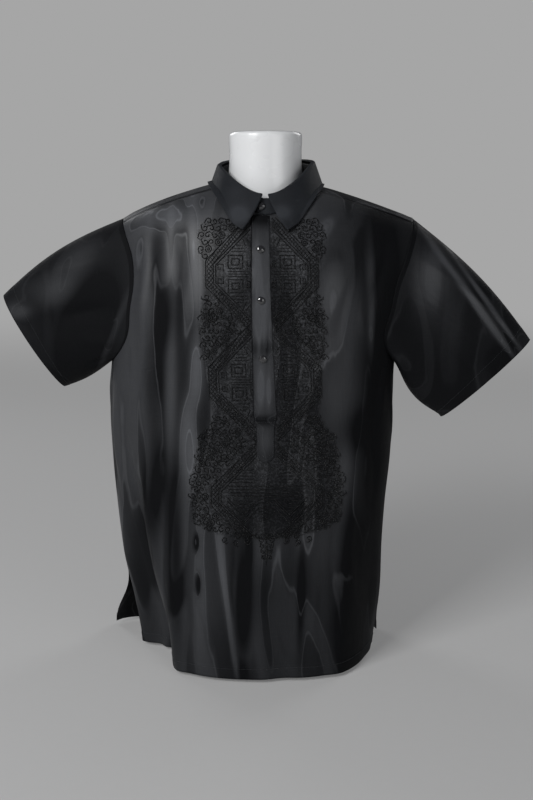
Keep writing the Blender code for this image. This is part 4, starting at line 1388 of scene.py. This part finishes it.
def blended(tree, share, one, two):
    """A colour between two others."""
    made = add(tree, "ShaderNodeMix", {"data_type": "RGBA"})
    plug(tree, share, made.inputs["Factor"])
    plug(tree, one, made.inputs["A"])
    plug(tree, two, made.inputs["B"])
    return made.outputs["Result"]


def kept(tree, name):
    """A value that a mesh keeps for each point."""
    return add(tree, "ShaderNodeAttribute", {"attribute_name": name}).outputs["Fac"]


def effect(name, inputs, outputs):
    """A node group with named inputs and outputs, and its two ends."""
    tree = bpy.data.node_groups.new(name, "ShaderNodeTree")
    for socket, kind, default in inputs:
        made = tree.interface.new_socket(socket, in_out="INPUT", socket_type=kind)
        if default is not None:
            made.default_value = default
    for socket in outputs:
        tree.interface.new_socket(socket, in_out="OUTPUT", socket_type="NodeSocketFloat")
    start = tree.nodes.new("NodeGroupInput").outputs
    end = tree.nodes.new("NodeGroupOutput").inputs
    return tree, start, end


def watering_effect():
    """Watered cloth: contours of a stretched field, as two sheer layers show, with the listed painted light
    and shade added.
    """
    tree, start, end = effect(
        "watering",
        (
            ("Vector", "NodeSocketVector", None),
            ("Field", "NodeSocketFloat", 0.0),
            ("Glow", "NodeSocketFloat", 0.0),
            ("Bands", "NodeSocketFloat", 3.8),
            ("Depth", "NodeSocketFloat", 1.0),
        ),
        ("Light",),
    )
    tall = scaled(tree, start["Vector"], (1.0, 1.0, 0.20))
    broad = noise(tree, tall, 13.0, 1.2, 0.45, 0.7)
    small = noise(tree, scaled(tree, start["Vector"], (1.0, 1.0, 0.24)), 48.0, 2.0, 0.55, 0.3)
    field = plus(tree, times(tree, broad, 1.5), times(tree, start["Field"], 0.42))
    field = plus(tree, field, times(tree, small, 0.10))
    turned = sums(tree, "PINGPONG", times(tree, field, start["Bands"]), 1.0)
    level = ramp(tree, turned, 0.26, 0.74)
    away = sums(tree, "ABSOLUTE", sums(tree, "SUBTRACT", turned, 0.5))
    lines = ramp(tree, away, 0.0, 0.085, 1.0, 0.0)
    where = ramp(tree, noise(tree, tall, 9.0, 1.0, 0.5, 0.2), 0.36, 0.62)
    lines = times(tree, lines, where)
    weight = ramp(tree, start["Field"], 0.0, 1.0, 0.28, 0.62)
    cast = noise(tree, scaled(tree, start["Vector"], (1.0, 1.0, 0.30)), 8.0, 1.5, 0.5, 0.4)
    light = plus(tree, times(tree, sums(tree, "SUBTRACT", level, 0.5), 0.18), 0.15)
    light = plus(tree, light, times(tree, ramp(tree, cast, 0.38, 0.72), 0.20))
    light = plus(tree, light, times(tree, lines, weight))
    light = times(tree, light, start["Depth"])
    # painted light and shade from the listed patches, added to the lightness
    light = plus(tree, light, times(tree, start["Glow"], 0.55))
    clear = add(tree, "ShaderNodeClamp")
    plug(tree, light, clear.inputs["Value"])
    plug(tree, clear.outputs[0], end["Light"])


def weave_effect():
    """Plain weave: crossing threads, and how fine slubs run along them."""
    tree, start, end = effect(
        "weave",
        (("Vector", "NodeSocketVector", None), ("Pitch", "NodeSocketFloat", 0.0006)),
        ("Height", "Slub"),
    )
    parts = add(tree, "ShaderNodeSeparateXYZ")
    plug(tree, start["Vector"], parts.inputs[0])
    turn = sums(tree, "DIVIDE", 2 * pi, start["Pitch"])
    around = plus(tree, parts.outputs["X"], parts.outputs["Y"])
    warp = sums(tree, "SINE", times(tree, around, turn))
    weft = sums(tree, "SINE", times(tree, parts.outputs["Z"], turn))
    plug(tree, times(tree, warp, weft), end["Height"])
    up = noise(tree, scaled(tree, start["Vector"], (1.0, 1.0, 0.03)), 900.0, 1.0)
    over = noise(tree, scaled(tree, start["Vector"], (0.03, 0.03, 1.0)), 900.0, 1.0)
    plug(tree, plus(tree, times(tree, up, 0.5), times(tree, over, 0.5)), end["Slub"])


def wear_effect():
    """Handling: a soft mottle, and small rubbed places."""
    tree, start, end = effect(
        "wear",
        (("Vector", "NodeSocketVector", None), ("Scale", "NodeSocketFloat", 1.0)),
        ("Mottle", "Rub"),
    )
    near = add(tree, "ShaderNodeVectorMath", {"operation": "SCALE"})
    plug(tree, start["Vector"], near.inputs[0])
    plug(tree, start["Scale"], near.inputs["Scale"])
    plug(tree, noise(tree, near.outputs[0], 30.0, 3.0, 0.6), end["Mottle"])
    plug(tree, ramp(tree, noise(tree, near.outputs[0], 90.0, 4.0, 0.65), 0.60, 0.72), end["Rub"])


def placed(tree, group, **values):
    """A node group placed in a material."""
    made = add(tree, "ShaderNodeGroup", {"node_tree": bpy.data.node_groups[group]})
    for key, value in values.items():
        plug(tree, value, made.inputs[key])
    return made.outputs


def new_finish(name, **fixed):
    """Make a material with its shader's fixed values; its tree, its shader's inputs and its coordinates."""
    made = bpy.data.materials.new(name)
    made.use_nodes = True
    tree = made.node_tree
    shader = tree.nodes["Principled BSDF"].inputs
    for key, value in fixed.items():
        shader[key.replace("_", " ")].default_value = value
    place = tree.nodes.new("ShaderNodeTexCoord").outputs["Object"]
    return tree, shader, place


def relief(tree, shader, height, distance, strength=1.0):
    """A height that tilts the surface."""
    bump = add(tree, "ShaderNodeBump", Strength=strength, Distance=distance)
    plug(tree, height, bump.inputs["Height"])
    plug(tree, bump.outputs["Normal"], shader["Normal"])


def organza(colours, sizes):
    """Watered black organza, whose colour carries painted highlights and painted shade."""
    tree, shader, place = new_finish(
        "organza", Sheen_Weight=0.005, Sheen_Roughness=0.4, Specular_IOR_Level=0.08, Coat_Roughness=0.40
    )
    # less depth also darkens the colour: painted shade on the front's far side
    depth = sums(tree, "SUBTRACT", 1.0, kept(tree, "calm"))
    # glow: painted light and shade kept on each piece's points
    field, glow = kept(tree, "field"), kept(tree, "glow")
    water = placed(tree, "watering", Vector=place, Field=field, Glow=glow, Depth=depth)
    weave = placed(tree, "weave", Vector=place, Pitch=sizes.weave)
    wear = placed(tree, "wear", Vector=place)
    worked = kept(tree, "worked")
    light = times(tree, water["Light"], sums(tree, "SUBTRACT", 1.0, times(tree, worked, 0.10)))
    tone = blended(tree, light, tuple(colours.cloth_dark), tuple(colours.cloth_light))
    shade = plus(tree, 0.80, times(tree, weave["Slub"], 0.4))
    whole = add(tree, "ShaderNodeCombineColor")
    for socket in whole.inputs:
        plug(tree, shade, socket)
    mixed = add(tree, "ShaderNodeMix", {"data_type": "RGBA", "blend_type": "MULTIPLY"}, Factor=1.0)
    plug(tree, tone, mixed.inputs["A"])
    plug(tree, whole.outputs[0], mixed.inputs["B"])
    packed = ramp(tree, noise(tree, place, 300.0, 1.5, 0.5, 0.9), 0.44, 0.56)
    packed = times(tree, packed, worked)
    filled = times(tree, packed, 0.62)
    plug(tree, blended(tree, filled, mixed.outputs["Result"], tuple(colours.thread)), shader["Base Color"])
    rough = ramp(tree, light, 0.0, 0.45, 0.62, 0.44)
    rough = plus(tree, rough, times(tree, wear["Mottle"], 0.08))
    plug(tree, rough, shader["Roughness"])
    plug(tree, ramp(tree, light, 0.04, 0.55, 0.0, 0.42), shader["Coat Weight"])
    crinkle = noise(tree, scaled(tree, place, (1.0, 1.0, 0.22)), 130.0, 3.0, 0.55, 0.4)
    height = plus(tree, crinkle, times(tree, weave["Height"], 0.05))
    height = plus(tree, height, times(tree, packed, 1.2))
    relief(tree, shader, height, 0.0007)


def plain_cloth(colours, sizes):
    """The stiffened collar: close plain cloth with a soft bloom, and painted highlights where its patches
    are light.
    """
    tree, shader, place = new_finish(
        "collar cloth", Sheen_Weight=0.005, Sheen_Roughness=0.5, Specular_IOR_Level=0.10
    )
    weave = placed(tree, "weave", Vector=place, Pitch=sizes.weave)
    wear = placed(tree, "wear", Vector=place)
    share = plus(tree, times(tree, wear["Mottle"], 0.5), times(tree, wear["Rub"], 0.25))
    share = plus(tree, share, times(tree, weave["Slub"], 0.25))
    # painted highlights on the leaves, from the listed patches
    share = plus(tree, share, kept(tree, "glow"))
    tone = blended(tree, share, tuple(colours.collar_dark), tuple(colours.collar_light))
    plug(tree, tone, shader["Base Color"])
    plug(tree, plus(tree, 0.46, times(tree, wear["Mottle"], 0.12)), shader["Roughness"])
    height = plus(tree, times(tree, weave["Height"], 0.5), weave["Slub"])
    relief(tree, shader, height, 0.00012)


def thread(name, colour, shine):
    """Sewing and embroidery thread, laid in fine slanting turns."""
    tree, shader, place = new_finish(
        name, Sheen_Weight=0.02, Specular_IOR_Level=shine, Anisotropic=0.3
    )
    wear = placed(tree, "wear", Vector=place)
    lay = sums(tree, "SINE", times(tree, kept(tree, "along"), 2 * pi / 0.00055))
    share = plus(tree, times(tree, wear["Mottle"], 0.8), times(tree, lay, 0.12))
    lighter = tuple(min(1.0, c * 2.2) for c in colour[:3]) + (1.0,)
    plug(tree, blended(tree, share, tuple(colour), lighter), shader["Base Color"])
    plug(tree, plus(tree, 0.24, times(tree, wear["Mottle"], 0.16)), shader["Roughness"])
    relief(tree, shader, lay, 0.00010)


def glass(colours):
    """Cut black glass, with a faint cloud of handling."""
    tree, shader, place = new_finish(
        "button glass", Specular_IOR_Level=0.8, Coat_Weight=1.0, Coat_Roughness=0.03
    )
    wear = placed(tree, "wear", Vector=place, Scale=6.0)
    share = times(tree, wear["Mottle"], 0.5)
    lighter = tuple(c * 6 for c in colours.button[:3]) + (1.0,)
    plug(tree, blended(tree, share, tuple(colours.button), lighter), shader["Base Color"])
    plug(tree, plus(tree, 0.06, times(tree, wear["Rub"], 0.12)), shader["Roughness"])
    relief(tree, shader, wear["Mottle"], 0.00004)


def white_gloss(colours):
    """The form's glossy white shell, a little scuffed."""
    tree, shader, place = new_finish("form white", Coat_Weight=0.5, Coat_Roughness=0.08)
    wear = placed(tree, "wear", Vector=place, Scale=0.5)
    grain = noise(tree, place, 700.0, 2.0)
    share = plus(tree, times(tree, wear["Rub"], 0.5), times(tree, wear["Mottle"], 0.3))
    darker = tuple(c * 0.86 for c in colours.form[:3]) + (1.0,)
    plug(tree, blended(tree, share, tuple(colours.form), darker), shader["Base Color"])
    plug(tree, plus(tree, 0.20, times(tree, wear["Mottle"], 0.14)), shader["Roughness"])
    relief(tree, shader, plus(tree, wear["Mottle"], times(tree, grain, 0.05)), 0.0003)


def floor_paper(stage):
    """Pale seamless floor: its tone rises far out, to meet the air round it."""
    tree, shader, place = new_finish("floor paper", Specular_IOR_Level=0.0, Emission_Strength=1.0)
    far = add(tree, "ShaderNodeVectorMath", {"operation": "LENGTH"})
    plug(tree, place, far.inputs[0])
    share = ramp(tree, far.outputs["Value"], 0.6, 5.0)
    black = (0.0, 0.0, 0.0, 1.0)
    worn = tuple(c * 0.97 for c in stage.floor)
    near = blended(tree, noise(tree, place, 60.0, 4.0), tuple(stage.floor), worn)
    plug(tree, blended(tree, share, near, black), shader["Base Color"])
    plug(tree, blended(tree, share, tuple(stage.floor_glow), tuple(stage.air)), shader["Emission Color"])
    plug(tree, plus(tree, 0.8, times(tree, noise(tree, place, 300.0), 0.1)), shader["Roughness"])


def finish(name):
    """A material made earlier."""
    return bpy.data.materials[name]


# Settings


def size_setting(name, description, value):
    """A size with its name, description and default."""
    return bpy.props.FloatProperty(
        name=name, description=description, default=value, unit="LENGTH", precision=5
    )


class BARONG_PG_sizes(bpy.types.PropertyGroup):
    """Sizes of the cloth and thread."""

    cloth: size_setting("Cloth", "Thickness of the organza", 0.0008)
    collar: size_setting("Collar", "Thickness of the collar", 0.0014)
    weave: size_setting("Weave", "Distance between threads", 0.0006)
    bold_thread: size_setting("Bold thread", "Width of outlines and scrolls", 0.0017)
    fine_thread: size_setting("Fine thread", "Width of lattice and bars", 0.0012)
    thread_rise: size_setting("Thread rise", "Height of the embroidery", 0.0013)
    stitch: size_setting("Stitch", "Width of sewing thread", 0.0005)


def power_setting(name, description, value):
    """A lamp's power with its name, description and default."""
    return bpy.props.FloatProperty(name=name, description=description, default=value, unit="POWER")


def colour_setting(name, description, value):
    """A colour with its name, description and default."""
    return bpy.props.FloatVectorProperty(
        name=name, description=description, default=(*value, 1.0), size=4, subtype="COLOR", min=0, max=1
    )


class BARONG_PG_colours(bpy.types.PropertyGroup):
    """Colours of the cloth, thread, buttons and form."""

    # the dark tone also serves as painted shade and the light tone as painted highlight
    cloth_dark: colour_setting("Cloth, dark", "Organza where the watering is dark", (0.0038, 0.0041, 0.0050))
    cloth_light: colour_setting("Cloth, light", "Organza where the watering is light", (0.100, 0.104, 0.114))
    collar_dark: colour_setting("Collar, dark", "The collar's darkest tone", (0.0070, 0.0080, 0.0100))
    collar_light: colour_setting("Collar, light", "The collar's lightest tone", (0.034, 0.037, 0.043))
    thread: colour_setting("Embroidery", "Embroidery thread", (0.0018, 0.0020, 0.0026))
    sewing: colour_setting("Sewing", "Sewing thread", (0.030, 0.032, 0.036))
    button: colour_setting("Buttons", "Cut glass", (0.006, 0.006, 0.007))
    form: colour_setting("Form", "The dress form", (0.84, 0.85, 0.86))


class BARONG_PG_stage(bpy.types.PropertyGroup):
    """Light and floor."""

    floor: colour_setting("Floor", "The floor near the form", (0.42, 0.42, 0.42))
    floor_glow: colour_setting("Floor glow", "Light that the paper floor passes", (0.12, 0.12, 0.12))
    air: colour_setting("Air", "The even grey seen all round", (0.381, 0.381, 0.381))
    dome: colour_setting("Dome", "Soft light from all round", (0.085, 0.087, 0.092))
    key: power_setting("Key", "Key light", 52.0)
    fill: power_setting("Fill", "Fill light", 9.0)
    back: power_setting("Back", "Light behind each shoulder", 9.0)


# Operators


class BARONG_OT_finishes(bpy.types.Operator):
    """Make the effects and the materials"""

    bl_idname = "barong.finishes"
    bl_label = "Finishes"

    def execute(self, context):
        scene = context.scene
        colours, sizes = scene.barong_colours, scene.barong_sizes
        watering_effect()
        weave_effect()
        wear_effect()
        organza(colours, sizes)
        plain_cloth(colours, sizes)
        thread("embroidery thread", colours.thread, 0.40)
        thread("sewing thread", colours.sewing, 0.5)
        glass(colours)
        white_gloss(colours)
        return {"FINISHED"}


# Where the stitched ground lies, and how softly it ends
WORKED_FOOT = 0.222
WORKED_TOP = 0.706
WORKED_EDGE = 0.008
WORKED_SIDE = 0.006


class BARONG_OT_body(bpy.types.Operator):
    """Build the front, the back and the yoke"""

    bl_idname = "barong.body"
    bl_label = "Body"

    def execute(self, context):
        thick = context.scene.barong_sizes.cloth
        rows = front_grid()
        made = cloth("shirt_front", rows, finish("organza"), "front", thick)
        x, z = rows[..., 0], rows[..., 2]
        out = np.abs(x - centre_line(z)) - half_outline(z)
        worked = smooth(0.5 - out / WORKED_SIDE) * smooth((z - WORKED_FOOT) / WORKED_EDGE)
        store(made, "worked", worked * smooth((WORKED_TOP - z) / WORKED_EDGE))
        cloth("shirt_back", back_grid(), finish("organza"), "back", thick, flip=True)
        cloth("shirt_yoke", yoke_grid(), finish("organza"), "yoke", thick, flip=True)
        return {"FINISHED"}


class BARONG_OT_sleeves(bpy.types.Operator):
    """Build the two short sleeves"""

    bl_idname = "barong.sleeves"
    bl_label = "Sleeves"

    def execute(self, context):
        thick = context.scene.barong_sizes.cloth
        for name, side in (("sleeve_right", -1), ("sleeve_left", 1)):
            rows = sleeve_grid(name, side)
            front = smooth(0.5 + np.sin(2 * pi * np.arange(SLEEVE_AROUND) / SLEEVE_AROUND))
            cloth(f"shirt_{name}", rows, finish("organza"), name, thick, True, side > 0, facing=front)
        return {"FINISHED"}


class BARONG_OT_collar(bpy.types.Operator):
    """Build the collar's stand and its turned-down leaf"""

    bl_idname = "barong.collar"
    bl_label = "Collar"

    def execute(self, context):
        thick = context.scene.barong_sizes.collar
        cloth("shirt_collar_stand", stand_grid(), finish("collar cloth"), "collar_stand", thick)
        cloth("shirt_collar_fall", fall_grid(), finish("collar cloth"), "collar_fall", thick)
        return {"FINISHED"}


class BARONG_OT_placket(bpy.types.Operator):
    """Build the half placket"""

    bl_idname = "barong.placket"
    bl_label = "Placket"

    def execute(self, context):
        cloth("shirt_placket", placket_grid(), finish("organza"), "placket", PLACKET_SHEET)
        return {"FINISHED"}


class BARONG_OT_buttons(bpy.types.Operator):
    """Build the cut buttons"""

    bl_idname = "barong.buttons"
    bl_label = "Buttons"

    def execute(self, context):
        for number, height in enumerate(BUTTON_HEIGHTS, 1):
            place, normal = placket_at(np.float64(0), np.float64(height))
            button(f"shirt_button_{number}", place, normal, f"button_{number}")
        angle = COLLAR_BUTTON_ANGLE
        low, high = stand_point(np.float64(angle), 0.0), stand_point(np.float64(angle), 1.0)
        normal = unit(np.cross(np.array((np.cos(angle), np.sin(angle), 0.0)), high - low))
        place = (low + high) / 2 + normal * BUTTON_CLEAR
        button("shirt_button_collar", place, normal, "button_collar")
        return {"FINISHED"}


class BARONG_OT_embroidery(bpy.types.Operator):
    """Sew the embroidery"""

    bl_idname = "barong.embroidery"
    bl_label = "Embroidery"

    def execute(self, context):
        sizes = context.scene.barong_sizes
        bold, lattice = frame_lines()
        more, bars = inner_motifs()
        sets = (
            ("embroidery_frames", bold + more, sizes.bold_thread, sizes.thread_rise),
            ("embroidery_lattice", lattice, sizes.fine_thread, sizes.thread_rise * 0.7),
            ("embroidery_bars", bars, sizes.fine_thread, sizes.thread_rise * 0.8),
            ("embroidery_scrolls", scrolls(), sizes.bold_thread, sizes.thread_rise * 1.1),
        )
        for name, lines, width, rise in sets:
            cords(name, sewn_lines(lines), finish("embroidery thread"), width, rise)
        return {"FINISHED"}


class BARONG_OT_stitching(bpy.types.Operator):
    """Sew the seams, hems and edges"""

    bl_idname = "barong.stitching"
    bl_label = "Stitching"

    def execute(self, context):
        width = context.scene.barong_sizes.stitch
        wide = np.linspace(-HEM_STITCH, HEM_STITCH, LONG_POINTS)
        body = panel_line(wide, HEM_TURN, -1) + panel_line(wide, HEM_TURN, 1)
        for side in (-1, 1):
            for edge in (-SLIT_STITCH, SLIT_STITCH):
                body += panel_line(edge, np.linspace(HEM + 0.004, SLIT_TOP, SLIT_POINTS), side)
        seam = np.linspace(-SEAM_STITCH, SEAM_STITCH, YOKE_SEAM_POINTS)
        reach = reach_of(seam, BACK_SEAM_RISE + SEAM_TO_STITCH, 1)
        body += stitches(*yoke_skin(seam, reach, YOKE_STITCH_PROUD))
        for side in (-1, 1):
            corner = shoulder_place(*neck_plan(neck_corner(side)))[0]
            across = np.linspace(corner, side * 0.99, SHOULDER_POINTS)
            reach = np.full(SHOULDER_POINTS, FRONT_SEAM + SEAM_TO_STITCH)
            body += stitches(*yoke_skin(across, reach, YOKE_STITCH_PROUD))
        cords("stitching_body", body, finish("sewing thread"), width, width * STITCH_RISE)
        arms = []
        for name, side in (("sleeve_right", -1), ("sleeve_left", 1)):
            rows = sleeve_grid(name, side)
            if side > 0:
                rows = rows[:, ::-1]
            arms += row_line(rows, round(CUFF_TURN * (SLEEVE_ALONG - 1)))
        cords("stitching_sleeves", arms, finish("sewing thread"), width, width * STITCH_RISE)
        height = np.linspace(0.350, 0.704, PLACKET_POINTS)
        edges = []
        for across in (-PLACKET_STITCH, PLACKET_STITCH):
            edges += stitches(*lifted(placket_at(np.full(PLACKET_POINTS, across), height)))
        for share in (1.0, 0.62):
            turn = np.linspace(-pi / 2, pi / 2, SHORT_POINTS)
            low = PLACKET_STITCH_FOOT - PLACKET_END * ROUND_STITCH * share * np.cos(turn)
            edges += stitches(*lifted(placket_at(share * ROUND_STITCH * np.sin(turn), low)))
        across = np.linspace(-0.9, 0.9, CROSS_POINTS)
        for up in PLACKET_CROSS:
            edges += stitches(*lifted(placket_at(across, np.full(CROSS_POINTS, up))))
        turn = np.linspace(-LEAF_END_STITCH, LEAF_END_STITCH, LONG_POINTS)
        edges += leaf_line(turn, np.full(LONG_POINTS, LEAF_STITCH))
        out = np.linspace(1 - LEAF_STITCH, LEAF_STITCH, SHORT_POINTS)
        for end in (-LEAF_END_STITCH, LEAF_END_STITCH):
            edges += leaf_line(np.full(SHORT_POINTS, end), out)
        cords("stitching_edges", edges, finish("sewing thread"), width, width * STITCH_RISE)
        return {"FINISHED"}


def lifted(line):
    """A line of points and normals, raised a hair."""
    return line[0] + line[1] * STITCH_LIFT, line[1]


def leaf_line(turn, out):
    """Stitches along a line on the collar leaf."""
    across = fall_point(turn + LEAF_STEP, out) - fall_point(turn - LEAF_STEP, out)
    down = fall_point(turn, out + LEAF_STEP) - fall_point(turn, out - LEAF_STEP)
    normal = unit(np.cross(across, down))
    normal *= np.sign(normal @ np.array((0, 0, 1.0)))[:, None]
    return stitches(*lifted((fall_point(turn, out), normal)))


FORM_AROUND = 120
FORM_X = -0.006
FORM_NECK_SHIFT = 0.009  # the neck stands this far to the wearer's left of the body
FORM_CHEST = 0.60
FORM_SHIFT_RISE = 0.14
NECK_LIP = 0.826
NECK_TOP = 0.832
NECK_DISH = 0.0016


class BARONG_OT_form(bpy.types.Operator):
    """Build the smooth white dress form"""

    bl_idname = "barong.form"
    bl_label = "Dress form"

    def execute(self, context):
        body, lip = np.linspace(0.01, NECK_LIP, 110), np.linspace(NECK_LIP, NECK_TOP, 8)
        heights = np.unique(np.concatenate((FORM[:, 0], body, lip)))
        half_width, half_depth, centre_y, squareness = read_table(FORM, heights)
        centre_x = FORM_X + FORM_NECK_SHIFT * smooth((heights - FORM_CHEST) / FORM_SHIFT_RISE)
        turn = np.linspace(0, 2 * pi, FORM_AROUND, endpoint=False)
        c, s = np.cos(turn), np.sin(turn)
        power = squareness[:, None]
        size = (np.abs(c) ** power + np.abs(s) ** power) ** (-1 / power)
        x = centre_x[:, None] + half_width[:, None] * c * size
        y = centre_y[:, None] + half_depth[:, None] * s * size
        rows = np.stack((x, y, heights[:, None] + 0 * x), -1)
        top = []
        centre = rows[-1].mean(0)
        for share in (0.8, 0.55, 0.3):
            inner = centre + (rows[-1] - centre) * share
            inner[:, 2] -= NECK_DISH * (1 - share)
            top.append(inner)
        rows = np.concatenate((rows, np.stack(top)))
        points = rows.reshape(-1, 3)
        faces = grid_faces(len(rows), FORM_AROUND, closed=True)
        faces.append(list(reversed(range(FORM_AROUND))))
        faces.append(list(range(len(points) - FORM_AROUND, len(points))))
        new_object("dress_form", points, faces, finish("form white"), ("form",))
        return {"FINISHED"}


# The flat cut of each piece: width, length and the share of that rectangle the cloth fills
Cut = namedtuple("Cut", "piece width length share held")


class BARONG_OT_cuts(bpy.types.Operator):
    """Does nothing: no flat cut of any piece is stated"""

    bl_idname = "barong.cuts"
    bl_label = "Cuts"

    def execute(self, context):
        return {"FINISHED"}


Lamp = namedtuple("Lamp", "name x y z aim_x aim_z wide high share")
LAMPS = (
    Lamp("key", -1.5, -1.9, 1.9, -0.05, 0.45, 1.1, 1.3, "key"),
    Lamp("fill", 1.6, -2.0, 0.9, 0.0, 0.40, 1.4, 1.4, "fill"),
    Lamp("back right", -1.5, 1.6, 1.7, 0.0, 0.55, 0.8, 1.2, "back"),
    Lamp("back left", 1.5, 1.6, 1.7, 0.0, 0.55, 0.8, 1.2, "back"),
)
CAMERA_AZIMUTH = radians(1.0)
CAMERA_ELEVATION = radians(11.4)
CAMERA_DISTANCE = 1.75
CAMERA_AIM = (0.0016, 0.0176, 0.413)
CAMERA_LENS = 48.96


FLOOR_RINGS = (0.5, 2.0, 6.0, 20.0, 60.0)
FLOOR_AROUND = 96
FLOOR_DROP = 0.0004  # keeps the form's base out of the floor


class BARONG_OT_stage(bpy.types.Operator):
    """Set the floor, the lights, the air and the camera"""

    bl_idname = "barong.stage"
    bl_label = "Stage"

    def execute(self, context):
        stage = context.scene.barong_stage
        mesh = bpy.data.meshes.new("floor")
        turn = np.linspace(0, 2 * pi, FLOOR_AROUND, endpoint=False)
        points = [(0.0, 0.0, 0.0)] + [(r * np.cos(t), r * np.sin(t), 0.0) for r in FLOOR_RINGS for t in turn]
        faces = [(0, 1 + i, 1 + (i + 1) % FLOOR_AROUND) for i in range(FLOOR_AROUND)]
        quads = grid_faces(len(FLOOR_RINGS), FLOOR_AROUND, closed=True, flip=True)
        faces += [[1 + i for i in quad] for quad in quads]
        mesh.from_pydata(points, [], faces)
        floor_paper(stage)
        mesh.materials.append(finish("floor paper"))
        floor = bpy.data.objects.new("floor", mesh)
        floor.location.z = -FLOOR_DROP
        context.scene.collection.objects.link(floor)
        world = bpy.data.worlds.new("air")
        context.scene.world = world
        world.use_nodes = True
        air = world.node_tree
        seen = air.nodes.new("ShaderNodeLightPath").outputs["Is Camera Ray"]
        colour = blended(air, seen, tuple(stage.dome), tuple(stage.air))
        plug(air, colour, air.nodes["Background"].inputs["Color"])
        context.scene.view_settings.view_transform = "Standard"
        for lamp in LAMPS:
            light = bpy.data.lights.new(lamp.name, "AREA")
            light.shape = "RECTANGLE"
            light.size, light.size_y = lamp.wide, lamp.high
            light.energy = getattr(stage, lamp.share)
            made = bpy.data.objects.new(lamp.name, light)
            made.location = (lamp.x, lamp.y, lamp.z)
            aim = Vector((lamp.aim_x, 0.0, lamp.aim_z)) - made.location
            made.rotation_euler = aim.to_track_quat("-Z", "Y").to_euler()
            context.scene.collection.objects.link(made)
        lens = bpy.data.cameras.new("camera")
        lens.sensor_fit = "VERTICAL"
        lens.sensor_height = 36.0
        lens.lens = CAMERA_LENS
        camera = bpy.data.objects.new("camera", lens)
        level, height = np.cos(CAMERA_ELEVATION), np.sin(CAMERA_ELEVATION)
        back = Vector((np.sin(CAMERA_AZIMUTH) * level, -np.cos(CAMERA_AZIMUTH) * level, height))
        camera.location = Vector(CAMERA_AIM) + back * CAMERA_DISTANCE
        camera.rotation_euler = (-back).to_track_quat("-Z", "Y").to_euler()
        context.scene.collection.objects.link(camera)
        context.scene.camera = camera
        return {"FINISHED"}


class BARONG_PT_panel(bpy.types.Panel):
    """Every step, in order"""

    bl_label = "Barong"
    bl_idname = "BARONG_PT_panel"
    bl_space_type = "VIEW_3D"
    bl_region_type = "UI"
    bl_category = "Barong"

    def draw(self, context):
        for operator in OPERATORS:
            self.layout.operator(operator.bl_idname)
        for name in ("barong_sizes", "barong_colours", "barong_stage"):
            settings = getattr(context.scene, name)
            box = self.layout.box()
            for key in settings.__annotations__:
                box.prop(settings, key)


OPERATORS = (
    BARONG_OT_finishes,
    BARONG_OT_form,
    BARONG_OT_body,
    BARONG_OT_sleeves,
    BARONG_OT_collar,
    BARONG_OT_placket,
    BARONG_OT_buttons,
    BARONG_OT_embroidery,
    BARONG_OT_stitching,
    BARONG_OT_cuts,
    BARONG_OT_stage,
)
SETTINGS = {
    "barong_sizes": BARONG_PG_sizes,
    "barong_colours": BARONG_PG_colours,
    "barong_stage": BARONG_PG_stage,
}


def register():
    for made in (*SETTINGS.values(), *OPERATORS, BARONG_PT_panel):
        bpy.utils.register_class(made)
    for name, group in SETTINGS.items():
        setattr(bpy.types.Scene, name, bpy.props.PointerProperty(type=group))


def unregister():
    for name in SETTINGS:
        delattr(bpy.types.Scene, name)
    for made in reversed((*SETTINGS.values(), *OPERATORS, BARONG_PT_panel)):
        bpy.utils.unregister_class(made)


def main():
    register()
    bpy.ops.barong.finishes()
    bpy.ops.barong.form()
    bpy.ops.barong.body()
    bpy.ops.barong.sleeves()
    bpy.ops.barong.collar()
    bpy.ops.barong.placket()
    bpy.ops.barong.buttons()
    bpy.ops.barong.embroidery()
    bpy.ops.barong.stitching()
    bpy.ops.barong.cuts()
    bpy.ops.barong.stage()


if __name__ == "__main__":
    main()
